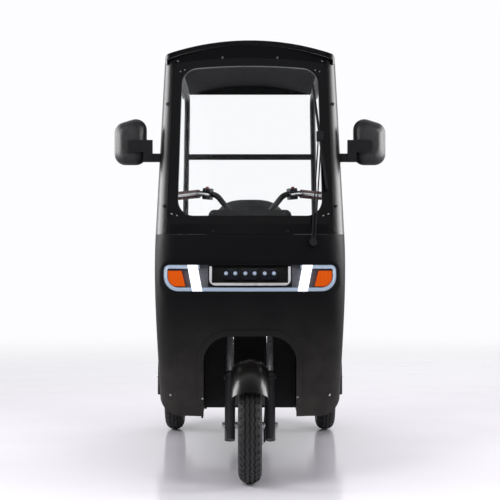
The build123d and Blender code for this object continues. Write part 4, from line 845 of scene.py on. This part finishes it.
def puffed(shape, name):
    """Swells a closed shape with a short cloth simulation and smooths it."""
    mesh = bpy.data.meshes.new(name)
    shape.to_mesh(mesh)
    shape.free()
    pad = bpy.data.objects.new(name, mesh)
    bpy.context.scene.collection.objects.link(pad)
    remesh = pad.modifiers.new("even_faces", "REMESH")
    remesh.mode = "VOXEL"
    remesh.voxel_size = foam_grid
    even = evaluated_mesh(pad)
    pad.modifiers.clear()
    pad.data = even
    rest = points_of(even)
    cloth = pad.modifiers.new("foam", "CLOTH")
    cloth.settings.use_pressure = True
    cloth.settings.uniform_pressure_force = 4
    cloth.settings.effector_weights.gravity = 0
    cloth.point_cache.frame_start = 1
    cloth.point_cache.frame_end = foam_frames
    for step in range(1, foam_frames + 1):
        bpy.context.scene.frame_set(step)
    swollen = evaluated_mesh(pad)
    pad.modifiers.clear()
    move = points_of(swollen) - rest
    length = np.linalg.norm(move, axis=1, keepdims=True)
    kept = np.minimum(1, foam_swell / np.maximum(length, 1e-9))
    place_points(swollen, rest + move * kept)
    pad.data = swollen
    bpy.context.scene.frame_set(1)
    smooth = pad.modifiers.new("smooth", "SUBSURF")
    smooth.levels = smooth.render_levels = 1
    final = evaluated_mesh(pad)
    pad.modifiers.clear()
    pad.data = final
    final.polygons.foreach_set("use_smooth", [True] * len(final.polygons))
    return pad


print("foam helper ready")

# %% [markdown]
# ## The shapes that the foam starts from
#
# A pad begins as a flat slab over its outline. It could be a box with round corners, but
# the back pads narrow to a bowed top. So the outline is drawn point by point, and the
# slab is pulled up from it. Its rims get a small bevel, because foam has no sharp edge.

# %% Slabs over an outline
def slab(outline, low, high, bevel=0.016):
    """A closed slab over a plan outline, its rims bevelled."""
    shape = bmesh.new()
    base = [shape.verts.new((x, y, low)) for x, y in outline]
    face = shape.faces.new(base)
    lifted = bmesh.ops.extrude_face_region(shape, geom=[face])["geom"]
    corners = [item for item in lifted if isinstance(item, bmesh.types.BMVert)]
    bmesh.ops.translate(shape, vec=(0, 0, high - low), verts=corners)
    rims = [edge for edge in shape.edges
            if abs(edge.verts[0].co.z - edge.verts[1].co.z) < 1e-6]
    bmesh.ops.bevel(shape, geom=rims, offset=bevel, segments=4, profile=0.6,
                    affect="EDGES")
    bmesh.ops.recalc_face_normals(shape, faces=shape.faces)
    return shape


def round_rectangle(half_width, low_y, high_y, corner, steps=8):
    """The plan outline of a rectangle with round corners."""
    points = []
    for sx, cy, start in ((1, high_y - corner, 0), (-1, high_y - corner, 90),
                          (-1, low_y + corner, 180), (1, low_y + corner, 270)):
        for i in range(steps + 1):
            angle = radians(start + 90 * i / steps)
            points.append((sx * (half_width - corner) + corner * cos(angle),
                           cy + corner * sin(angle)))
    return points


print("slab helpers ready")

# %% [markdown]
# ## Sewn channels
#
# Rows of stitching press soft channels into the covers. A bump pattern could show them,
# but the light comes from high up and the channels must catch it at the pad's rolled
# front edge. So points near a row move in along their normals, and the push fades out
# before the rim, where the cover is pulled smooth.

# %% Channels, and a pad's finish
channel_depth, channel_half = 0.007, 0.008


def channelled(pad, spacing, fade):
    """Presses sewn channels into the pad's top, a spacing apart across the vehicle."""
    points, normals = points_of(pad.data), normals_of(pad.data)
    offset = np.abs((points[:, 0] + spacing / 2) % spacing - spacing / 2)
    groove = np.clip(1 - offset / channel_half, 0, 1) ** 1.4
    facing = np.clip((normals[:, 2] - 0.3) / 0.5, 0, 1)
    push = groove * facing * fade(points) * channel_depth
    place_points(pad.data, points - normals * push[:, None])


def faded(distance):
    """0 outside a rim and 1 well inside it, for rows of distances."""
    return np.clip(distance / 0.02, 0, 1)


def seat_piece(pad, name, node):
    """Ties a swollen pad to the chassis in place of its plain solid."""
    pad.name = name
    pad.data.name = name
    pad.data.materials.clear()
    pad.data.materials.append(finishes["seat_leather"])
    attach(pad, "chassis")
    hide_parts(node)
    print(name, len(pad.data.polygons), "faces")
    return pad


print("channel and seat helpers ready")

# %% [markdown]
# ## Cushions and back pads
#
# Both cushions are one shape in two sizes, and so are both backs. Their boxes are read
# from the solids that they replace, so that they sit on the seat box and in their frames
# without being measured again. A cushion gets a crown in its middle. A back is built
# flat, because the channels are easy to press there, and is then set on its lean.

# %% The two cushions
pad_inset = 0.008         # the foam starts this far inside its solid
crown_rise = 0.010


def seat_top(node, name, corner=0.055, spacing=0.058):
    """A seat cushion inside the box of its solid, with channels from front to back."""
    low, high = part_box(node)
    shape = slab(round_rectangle(high.x - pad_inset, low.y + pad_inset,
                                 high.y - pad_inset, corner),
                 low.z + 0.004, high.z - crown_rise)
    pad = puffed(shape, name)
    half, middle, reach_y = high.x, (low.y + high.y) / 2, (high.y - low.y) / 2
    points = points_of(pad.data)
    crown = ((1 - (points[:, 0] / half) ** 4)
             * (1 - (np.abs(points[:, 1] - middle) / reach_y) ** 4))
    upper = points[:, 2] > (low.z + high.z) / 2
    points[:, 2] += crown_rise * np.clip(crown, 0, 1) * upper
    points[:, 2] = np.maximum(points[:, 2], low.z + 0.001)
    place_points(pad.data, points)

    def rim_fade(points):
        return (faded(half - 0.025 - np.abs(points[:, 0]))
                * faded(reach_y - 0.03 - np.abs(points[:, 1] - middle)))

    channelled(pad, spacing, rim_fade)
    return seat_piece(pad, name, node)


driver_cushion = seat_top("driver_seat_cushion", "driver_cushion_cover")
bench_cushion = seat_top("passenger_seat_cushion", "bench_cushion_cover")

# %% The outline of a back pad
back_lean = radians(8)
back_thickness = 0.066


def back_outline(half_foot, half_top, rise, arch=0.018, corner=0.05):
    """The outline of a back pad seen from the front: round foot, bowed narrower top."""
    outline = []
    shoulder = rise - 0.15
    top_steps, corner_steps = 16, 4
    for i in range(top_steps + 1):
        across = 1 - 2 * i / top_steps
        reach = abs(across) ** 5
        outline.append((across * half_top * (1 - 0.02 * reach),
                        rise - arch * across * across - 0.022 * reach))
    neck, neck_level = (half_foot + half_top) / 2 + 0.006, (shoulder + rise) / 2 - 0.012
    outline += [(-neck, neck_level), (-(half_foot - pad_inset), shoulder)]
    for side, start in ((-1, 180), (1, 270)):
        for i in range(corner_steps + 1):
            angle = radians(start + 90 * i / corner_steps)
            outline.append((side * (half_foot - pad_inset - corner) + corner * cos(angle),
                            pad_inset + corner + corner * sin(angle)))
    return outline + [(half_foot - pad_inset, shoulder), (neck, neck_level)]


print("back outline of", len(back_outline(0.2, 0.15, 0.3)), "points")


# %% The two back pads
def seat_back_pad(node, name, half_foot, half_top, spacing=0.056):
    """A leaning back pad, built flat over its outline and then set on its lean."""
    low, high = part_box(node)
    rise = (high.z - low.z) / cos(back_lean) - 0.012
    shape = slab(back_outline(half_foot, half_top, rise), -back_thickness + 0.006, -0.010)
    pad = puffed(shape, name)
    points = points_of(pad.data)
    points[:, 2] = np.maximum(points[:, 2], -back_thickness + 0.0005)
    place_points(pad.data, points)

    def rim_fade(points):
        return (faded(half_foot - 0.03 - np.abs(points[:, 0]))
                * np.minimum(faded(points[:, 1] - 0.03), faded(rise - 0.05 - points[:, 1])))

    channelled(pad, spacing, rim_fade)
    pad.data.transform(Matrix((
        (1, 0, 0, 0),
        (0, sin(back_lean), -cos(back_lean), low.y + 0.001),
        (0, cos(back_lean), sin(back_lean), low.z + back_thickness * sin(back_lean)),
        (0, 0, 0, 1))))
    pad.data.update()
    seat_piece(pad, name, node)


seat_back_pad("driver_seat_back", "driver_back_cover", half_foot=0.215, half_top=0.145)
seat_back_pad("passenger_seat_back", "bench_back_cover", half_foot=0.275, half_top=0.205)

# %% [markdown]
# ## Small parts set on the surface
#
# Screws, bolts and diodes sit on curved solids. Their places could be measured and typed
# in, but each would be a little off the surface. So a ray finds the surface itself: from
# the camera through a spot in the picture for what the picture shows, and from outside
# the vehicle for its sides and back, which the picture doesn't show.

# %% Rays that find a surface
surfaces = {}


def surface_of(node):
    """A solid's faces, ready for rays."""
    if node not in surfaces:
        mesh = nodes[node].data
        spots = [nodes[node].matrix_world @ vertex.co for vertex in mesh.vertices]
        faces = [tuple(face.vertices) for face in mesh.polygons]
        surfaces[node] = BVHTree.FromPolygons(spots, faces)
    return surfaces[node]


def struck(node, origin, direction):
    """Where a ray meets a solid, and which way the surface faces there."""
    way = Vector(direction).normalized()
    place, normal = surface_of(node).ray_cast(Vector(origin), way)[:2]
    if place is None:
        raise ValueError(f"no ray from {tuple(origin)} meets {node}")
    return place, -normal if normal.dot(way) > 0 else normal


def pictured(node, across, down):
    """The surface point that the picture shows at a place counted from its corner."""
    return struck(node, camera.location, ((across - picture_middle) / focal_pixels, 1,
                                          (picture_middle - down) / focal_pixels))


print("rays ready")

# %% [markdown]
# ## Turned pieces to copy
#
# A screw head, a bolt head, a diode and a dust seal are all turned shapes. Each could be
# put together from cylinders, but a profile of a few (radius, height) pairs gives the
# soft rims that catch the light. The screws and bolts also get a hexagon recess. Sizes
# are in units of the piece's own radius, and the seal's are in millimetres.

# %% Turned pieces to copy
turned_steps = 24


def turned_piece(name, profile, recess=None):
    """Turns (radius, height) pairs about z, with a hexagon recess where one is given."""
    shape = bmesh.new()
    angles = [2 * pi * i / turned_steps for i in range(turned_steps)]
    rings = [[(radius * cos(angle), radius * sin(angle), height) for angle in angles]
             for radius, height in profile]
    if recess:
        across, rim, floor_height = recess
        hexagon = [across / 2 / cos(angle % (pi / 3) - pi / 6) for angle in angles]
        for height in (rim, floor_height):
            rings.append([(reach * cos(angle), reach * sin(angle), height)
                          for reach, angle in zip(hexagon, angles)])
    capped(shape, rings)
    bmesh.ops.recalc_face_normals(shape, faces=shape.faces)
    mesh = bpy.data.meshes.new(name)
    shape.to_mesh(mesh)
    shape.free()
    return bpy.data.objects.new(name, mesh)


socket_bolt = turned_piece("socket_bolt", [
    (1.4, -0.4), (1.4, 0.14), (1.32, 0.2), (1.0, 0.2), (1.0, 0.62), (0.9, 0.72)],
    recess=(1.0, 0.72, 0.3))
pan_screw = turned_piece("pan_screw", [
    (1.0, -0.4), (1.0, 0.08), (0.88, 0.3), (0.66, 0.42)], recess=(0.8, 0.44, 0.16))
diode_ring = turned_piece("diode_ring", [
    (1.3, -0.2), (1.3, 0.22), (1.2, 0.3), (1.05, 0.3), (0.95, 0.06)])
diode_dome = turned_piece("diode_dome", [
    (0.8, -0.2), (0.8, 0.16), (0.72, 0.34), (0.5, 0.48), (0.2, 0.54)])
dust_seal = turned_piece("dust_seal", [
    (22.5, -2), (22.5, 5), (20, 9), (16.5, 11), (14.6, 11.5)])
print("turned pieces ready")

# %% [markdown]
# ## Copies by geometry nodes
#
# The same head repeats up to ten times in a row. A loop could copy it, but a node group
# does it with inputs that have names: the points, the piece, its size, a seed and the
# finish. Each copy turns to the way its surface faces and is spun a little at random,
# because real screws never end up at one angle.

# %% A node group that sets pieces on points
def set_on_points():
    """Copies a piece onto points, turned to their facing and spun at random."""
    group = bpy.data.node_groups.new("set_on_points", "GeometryNodeTree")
    for label, kind in (("Points", "NodeSocketGeometry"), ("Piece", "NodeSocketObject"),
                        ("Size", "NodeSocketFloat"), ("Seed", "NodeSocketInt"),
                        ("Finish", "NodeSocketMaterial")):
        group.interface.new_socket(label, in_out="INPUT", socket_type=kind)
    group.interface.new_socket("Pieces", in_out="OUTPUT", socket_type="NodeSocketGeometry")
    given = group.nodes.new("NodeGroupInput")
    sent = group.nodes.new("NodeGroupOutput")
    piece = group.nodes.new("GeometryNodeObjectInfo")
    facing = group.nodes.new("GeometryNodeInputNamedAttribute")
    facing.data_type = "FLOAT_VECTOR"
    facing.inputs["Name"].default_value = "facing"
    aligned = group.nodes.new("FunctionNodeAlignRotationToVector")
    aligned.axis = "Z"
    copied = group.nodes.new("GeometryNodeInstanceOnPoints")
    chance = group.nodes.new("FunctionNodeRandomValue")
    chance.data_type = "FLOAT_VECTOR"
    chance.inputs[0].default_value = (0, 0, 0)
    chance.inputs[1].default_value = (0, 0, pi / 3)
    spun = group.nodes.new("GeometryNodeRotateInstances")
    real = group.nodes.new("GeometryNodeRealizeInstances")
    dressed = group.nodes.new("GeometryNodeSetMaterial")
    for start, end in (
            (given.outputs["Points"], copied.inputs["Points"]),
            (given.outputs["Piece"], piece.inputs["Object"]),
            (piece.outputs["Geometry"], copied.inputs["Instance"]),
            (facing.outputs["Attribute"], aligned.inputs["Vector"]),
            (aligned.outputs["Rotation"], copied.inputs["Rotation"]),
            (given.outputs["Size"], copied.inputs["Scale"]),
            (given.outputs["Seed"], chance.inputs["Seed"]),
            (copied.outputs["Instances"], spun.inputs["Instances"]),
            (chance.outputs[0], spun.inputs["Rotation"]),
            (spun.outputs["Instances"], real.inputs["Geometry"]),
            (real.outputs["Geometry"], dressed.inputs["Geometry"]),
            (given.outputs["Finish"], dressed.inputs["Material"]),
            (dressed.outputs["Geometry"], sent.inputs["Pieces"])):
        group.links.new(start, end)
    return group


copier = set_on_points()
print("node group with", len(copier.nodes), "nodes")


# %% Copies that end as one plain mesh
def repeated(name, piece, spots, size, body="chassis", finish="axle_steel"):
    """Sets a turned piece on every spot and leaves one plain mesh."""
    points = bpy.data.meshes.new(name)
    points.from_pydata([place for place, facing in spots], [], [])
    way = points.attributes.new("facing", "FLOAT_VECTOR", "POINT")
    way.data.foreach_set("vector", [value for place, facing in spots for value in facing])
    holder = bpy.data.objects.new(name, points)
    bpy.context.scene.collection.objects.link(holder)
    bpy.context.scene.collection.objects.link(piece)
    copies = holder.modifiers.new("copies", "NODES")
    copies.node_group = copier
    values = {"Piece": piece, "Size": size, "Seed": 7, "Finish": finishes[finish]}
    for item in copier.interface.items_tree:
        if item.in_out == "INPUT" and item.name in values:
            copies[item.identifier] = values[item.name]
    plain = evaluated_mesh(holder)
    holder.modifiers.clear()
    holder.data = plain
    bpy.context.scene.collection.objects.unlink(piece)
    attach(holder, body)
    print(name, len(spots), "copies,", len(plain.polygons), "faces on", body)


print("copying ready")

# %% [markdown]
# ## Screws, bolts and diodes that the picture shows
#
# The surround is held by black socket bolts and screws, its header, the glass and the
# apron by bare ones. Their spots are read off the picture, counted from its top left
# corner, and the rays carry them onto the bowed solids. Under the smoked lens each of
# the three lamp units has two diodes, a dark ring round a bright dome.

# %% Screws and bolts on the front
for name, piece, size, finish, node, spots in (
        ("pillar_bolts", socket_bolt, 0.0058, "cable_black", "windscreen_surround",
         ((167.5, 104), (332.7, 104), (164, 206), (336, 206))),
        ("belt_screws", pan_screw, 0.0052, "cable_black", "windscreen_surround",
         ((165.8, 230), (334.2, 230), (213.8, 231.4), (287.6, 231.4))),
        ("header_screws", pan_screw, 0.0040, "axle_steel", "windscreen_surround",
         ((178, 61), (222.6, 57.5), (277.4, 57.5), (322, 61))),
        ("glass_screws", pan_screw, 0.0030, "axle_steel", "windscreen",
         ((180.5, 71.5), (185, 70), (172, 214), (177, 215.5),
          (319.5, 71.5), (315, 70), (328, 214), (323, 215.5))),
        ("apron_screws", pan_screw, 0.0042, "axle_steel", "front_cowl",
         ((202.5, 398.5), (297.5, 397), (170.5, 395), (329.5, 395)))):
    repeated(name, piece, [pictured(node, *spot) for spot in spots], size, finish=finish)

# %% Diodes behind the centre lamp units
unit_step, diode_step, diode_row, diode_size = 19.3, 4.6, 273.4, 0.0088
diode_spots = [pictured("headlamp_lenses",
                        picture_middle + unit * unit_step + half * diode_step, diode_row)
               for unit in (-1, 0, 1) for half in (-1, 1)]
repeated("diode_rings", diode_ring, diode_spots, diode_size, finish="guard_gloss")
repeated("diode_domes", diode_dome, diode_spots, diode_size, finish="light_guide")

# %% [markdown]
# ## Bolts on the sides, back and seats
#
# Behind the front everything is held the way vehicles of this kind are: screws along the
# sills and arches, bolts through straps and posts, four nuts on each rear hub. Each row
# is written as rays that start in the open and run towards the solid, so a row follows
# its curve. Both sides come from one line, with the side as a sign.

# %% Bolts on the sides, back and seats
sides = (-1, 1)
named_sides = (("left", -1), ("right", 1))
clear_side, clear_back = 1.2, 1.6       # rays start here, outside the vehicle
forward, downward = (0, -1, 0), (0, 0, -1)


def circle(radius, angles):
    """Points on a circle, as pairs."""
    return [(radius * cos(radians(angle)), radius * sin(radians(angle)))
            for angle in angles]


def aimed(name, piece, size, node, rays, body="chassis"):
    """Sets copies of a piece where rays, as (origin, direction), meet a solid."""
    repeated(name, piece, [struck(node, *ray) for ray in rays], size, body)


aimed("sill_screws", pan_screw, 0.0052, "floor_board",
      [((side * clear_side, -0.34 + 0.14 * i, 0.28), (-side, 0, 0))
       for side in sides for i in range(5)])
aimed("fender_screws", pan_screw, 0.0050, "rear_fenders",
      [((side * clear_side, rear_axle_y + y, tyre_radius + z), (-side, 0, 0))
       for side in sides for y, z in circle(0.234, (15, 52, 90, 128, 165))])
aimed("tail_board_screws", pan_screw, 0.0050, "roof_panel",
      [((x, clear_back, 1.61), forward) for x in (-0.23, -0.08, 0.08, 0.23)])
aimed("lamp_screws", pan_screw, 0.0042, "rear_lamps",
      [((side * 0.272 + end * 0.042, clear_back, 0.514), forward)
       for side in sides for end in sides])
aimed("bumper_bolts", socket_bolt, 0.0070, "rear_bumper",
      [((side * 0.18, 1.055, 0.7), downward) for side in sides])
aimed("strap_bolts", socket_bolt, 0.0055, "seat_back_frames",
      [((side * 0.11, y, z), forward) for side in sides
       for y, z in ((0.62, 0.70), (0.62, 0.86), (1.3, 0.70), (1.3, 0.82))])
aimed("post_bolts", socket_bolt, 0.0026, "canopy_frame",
      [((side * 0.318 + x, 0.80 + y, 0.62), downward)
       for side in sides for x, y in circle(0.0186, (45, 135, 225, 315))])
aimed("dash_screws", pan_screw, 0.0045, "dashboard",
      [((side * 0.30, 0.0, z), forward) for side in sides for z in (0.80, 0.60)])
for label, side in named_sides:
    aimed(f"rear_{label}_lug_nuts", socket_bolt, 0.0048, f"rear_rim_{label}",
          [((side * 0.9, rear_axle_y + y, tyre_radius + z), (-side, 0, 0))
           for y, z in circle(0.024, (45, 135, 225, 315))], f"rear_wheel_{label}")

# %% [markdown]
# ## Fork seals and clamp bolts
#
# These sit on the steering, whose axis leans back. They could be placed with x, y and z
# for each, but their places only make sense along the leaned fork legs. So one function
# turns a place seen in the fork, across it, ahead of it and up along it, into the frame,
# and the pieces ride on the steering body.

# %% Fork seals and clamp bolts
caster, fork_offset, leg_reach = radians(24), 0.030, 0.0725


def steered(across, back, up):
    """A point of the leaned fork, counted from beside the front axle."""
    sine, cosine = sin(caster), cos(caster)
    return Vector((across,
                   front_axle_y + fork_offset * cosine + back * cosine + up * sine,
                   tyre_radius - fork_offset * sine - back * sine + up * cosine))


steer_axis = steered(0, 0, 1) - steered(0, 0, 0)
steer_back = steered(0, 1, 0) - steered(0, 0, 0)
repeated("dust_seals", dust_seal,
         [(steered(side * leg_reach, -0.030, 0.192), steer_axis) for side in sides],
         0.001, "steering", "cable_black")
repeated("clamp_bolts", socket_bolt,
         [struck("fork", steered(side * leg_reach, -0.3, 0.397), steer_back)
          for side in sides], 0.0060, "steering")
repeated("bar_end_weights", dust_seal,
         [(Vector((side * 0.2985, -0.4105, 1.0445)), Vector((side * 0.9, 0.43, -0.07)))
          for side in sides], 0.00068, "steering")

# %% [markdown]
# ## Mirror shells
#
# The mirrors are the widest thing in the picture and show soft, dark plastic shells. A
# scaled sphere would be too round for them. Here one outline with round corners is swept
# forwards while it draws in along a quarter circle, which gives a full rim and a flatter
# nose. The two shells are one piece and take the place of the solid housings.

# %% Round corners
def rounded(corners, radius, steps=8):
    """A flat polygon with an arc at every corner."""
    made = []
    for i, corner in enumerate(corners):
        here = Vector(corner)
        before = (Vector(corners[i - 1]) - here).normalized()
        after = (Vector(corners[(i + 1) % len(corners)]) - here).normalized()
        half = before.angle(after) / 2
        middle = here + (before + after).normalized() * (radius / sin(half))
        first = here + before * (radius / tan(half)) - middle
        last = here + after * (radius / tan(half)) - middle
        made += [middle + first.slerp(last, step / steps).normalized() * radius
                 for step in range(steps + 1)]
    return made


print("rounded corners ready")

# %% Mirror shells
shell_rim_y, shell_depth, shell_draw, shell_steps = -0.5725, 0.0382, 0.52, 12
shells = bmesh.new()
for side in sides:
    outline = rounded([(side * 0.393, 1.162), (side * 0.393, 1.353),
                       (side * 0.516, 1.315), (side * 0.516, 1.162)], 0.042)
    middle = Vector((side * 0.452, 1.255))
    levels = [(0.90, -0.5735), (0.90, -0.5692), (0.975, -0.5692), (1.0, shell_rim_y)]
    for i in range(1, shell_steps + 1):
        angle = radians(90 * i / shell_steps)
        levels.append((1 - shell_draw * (1 - cos(angle)),
                       shell_rim_y - shell_depth * sin(angle)))
    capped(shells, [[(middle.x + (spot.x - middle.x) * scale, y,
                      middle.y + (spot.y - middle.y) * scale) for spot in outline]
                    for scale, y in levels])
mirror_shells = finished(shells, "mirror_shells", "chassis", "trim_black", smooth=True,
                         replaces=["mirror_housings"])
only_mirrors.objects.link(mirror_shells)

# %% [markdown]
# ## Wiper rubber
#
# The wiper's blade holds a rubber lip against the glass. A straight strip would leave
# the glass or cut into it, because the screen is curved. So rays find the glass at 25
# places along the blade, and a small section is carried from one to the next.

# %% Wiper rubber
blade_start, blade_end, blade_steps = (0.237, 1.462), (0.283, 1.062), 24
lip = ((-0.0006, 0.0004), (0.0006, 0.0004), (0.0012, 0.003), (0.003, 0.0045),
       (-0.003, 0.0045), (-0.0012, 0.003))
rings = []
for i in range(blade_steps + 1):
    x, z = (start + (end - start) * i / blade_steps
            for start, end in zip(blade_start, blade_end))
    spot, facing = struck("windscreen", (x, -1.6, z), (0, 1, 0))
    rings.append([(spot + facing * rise + Vector((wide, 0, 0)))[:] for wide, rise in lip])
strip = bmesh.new()
capped(strip, rings)
finished(strip, "wiper_rubber", "chassis", "cable_black")

# %% [markdown]
# ## Plates and switches
#
# Switches, reflectors, the display and the charge flap are all thin plates with round
# corners that lie on a surface. Boxes would do from afar, but their hard edges would
# show no light. One function lays a plate on the spot that a ray found, along the
# surface, and draws its top edge in a little.

# %% Plates and switches that lie on a surface
def plate(name, spot, size, body, finish, roundness=0.3):
    """A small plate with round corners that lies on a struck surface."""
    (place, facing), (width, height, thickness) = spot, size
    across = Vector((1, 0, 0)) - facing * facing.x
    if across.length < 0.3:
        across = Vector((0, 1, 0)) - facing * facing.y
    across.normalize()
    up = facing.cross(across)
    outline = rounded([(-width / 2, -height / 2), (width / 2, -height / 2),
                       (width / 2, height / 2), (-width / 2, height / 2)],
                      roundness * min(width, height), 5)
    shape = bmesh.new()
    capped(shape, [[(place + across * (point.x * scale) + up * (point.y * scale)
                     + facing * rise)[:] for point in outline]
                   for scale, rise in ((1, -0.001), (1, thickness * 0.7),
                                       (0.97, thickness * 0.92), (0.92, thickness))])
    finished(shape, name, body, finish)


# The red_lens finish glows a little, so the red switches and rear reflectors carry a
# painted glow.
for label, side in named_sides:
    plate(f"{label}_red_switch",
          struck("control_pods", (side * 0.166, -0.48, 1.3), downward),
          (0.014, 0.012, 0.006), "steering", "red_lens")
    plate(f"{label}_switch_cap",
          struck("control_pods", (side * 0.166, 0.2, 1.058), forward),
          (0.022, 0.010, 0.005), "steering", "trim_black")
    plate(f"{label}_rear_reflector",
          struck("rear_body", (side * 0.24, clear_back, 0.44), forward),
          (0.060, 0.026, 0.006), "chassis", "red_lens")
display_spot = struck("dashboard", (0.0, 0.2, 0.945), forward)
plate("dash_display", display_spot, (0.150, 0.046, 0.006), "chassis", "guard_gloss")
plate("dash_screen", display_spot, (0.122, 0.030, 0.0066), "chassis", "light_guide")
plate("key_switch", struck("dashboard", (0.20, 0.2, 0.86), forward),
      (0.034, 0.034, 0.008), "chassis", "axle_steel", roundness=0.48)
plate("charge_flap", struck("seat_box", (0.6, 0.10, 0.44), (-1, 0, 0)),
      (0.080, 0.060, 0.005), "chassis", "trim_black")

# %% [markdown]
# ## Piping
#
# A cord is sewn into the seam that runs round each cushion. It could be a tube along
# the cushion's outline, but the foam has swollen and no longer follows it. So rays from
# a loop outside meet the finished cover, the points are smoothed four times, and the
# tube runs along them, half sunk in the cover.

# %% Piping sewn round the cushions
piping_radius, seam_drop, seam_inset, smoothings = 0.0034, 0.024, 0.06, 4


def piped(name, pad, outline, centre):
    """A closed tube along the line where rays from outside meet the pad."""
    cover = BVHTree.FromObject(pad, bpy.context.evaluated_depsgraph_get())
    path = []
    for start in outline:
        place = cover.ray_cast(start, (centre(start) - start).normalized())[0]
        if place is not None:
            path.append(place)
    for turn in range(smoothings):
        path = [(path[i - 1] + path[i] * 2 + path[(i + 1) % len(path)]) / 4
                for i in range(len(path))]
    rings = []
    for i, here in enumerate(path):
        ahead = (path[(i + 1) % len(path)] - path[i - 1]).normalized()
        other = ahead.cross((here - centre(here)).normalized()).normalized()
        outward = other.cross(ahead)
        rings.append([(here + (outward * cos(radians(angle)) + other * sin(radians(angle)))
                       * piping_radius)[:] for angle in range(0, 360, 45)])
    shape = bmesh.new()
    ring_surface(shape, rings, closed_path=True)
    finished(shape, name, "chassis", "cable_black", smooth=True)


for label, pad, node in (("driver", driver_cushion, "driver_seat_cushion"),
                         ("bench", bench_cushion, "passenger_seat_cushion")):
    low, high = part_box(node)
    middle_y, reach_y = (low.y + high.y) / 2, (high.y - low.y) / 2 - seam_inset
    reach_x = high.x - seam_inset

    def inner(spot):
        """The nearest point of the cushion's middle part, at the spot's own height."""
        return Vector((max(-reach_x, min(reach_x, spot.x)),
                       max(middle_y - reach_y, min(middle_y + reach_y, spot.y)), spot.z))

    piped(f"{label}_cushion_piping", pad,
          [Vector((x, y, high.z - seam_drop)) for x, y in round_rectangle(
              high.x + 0.1, low.y - 0.1, high.y + 0.1, 0.14, 24)], inner)
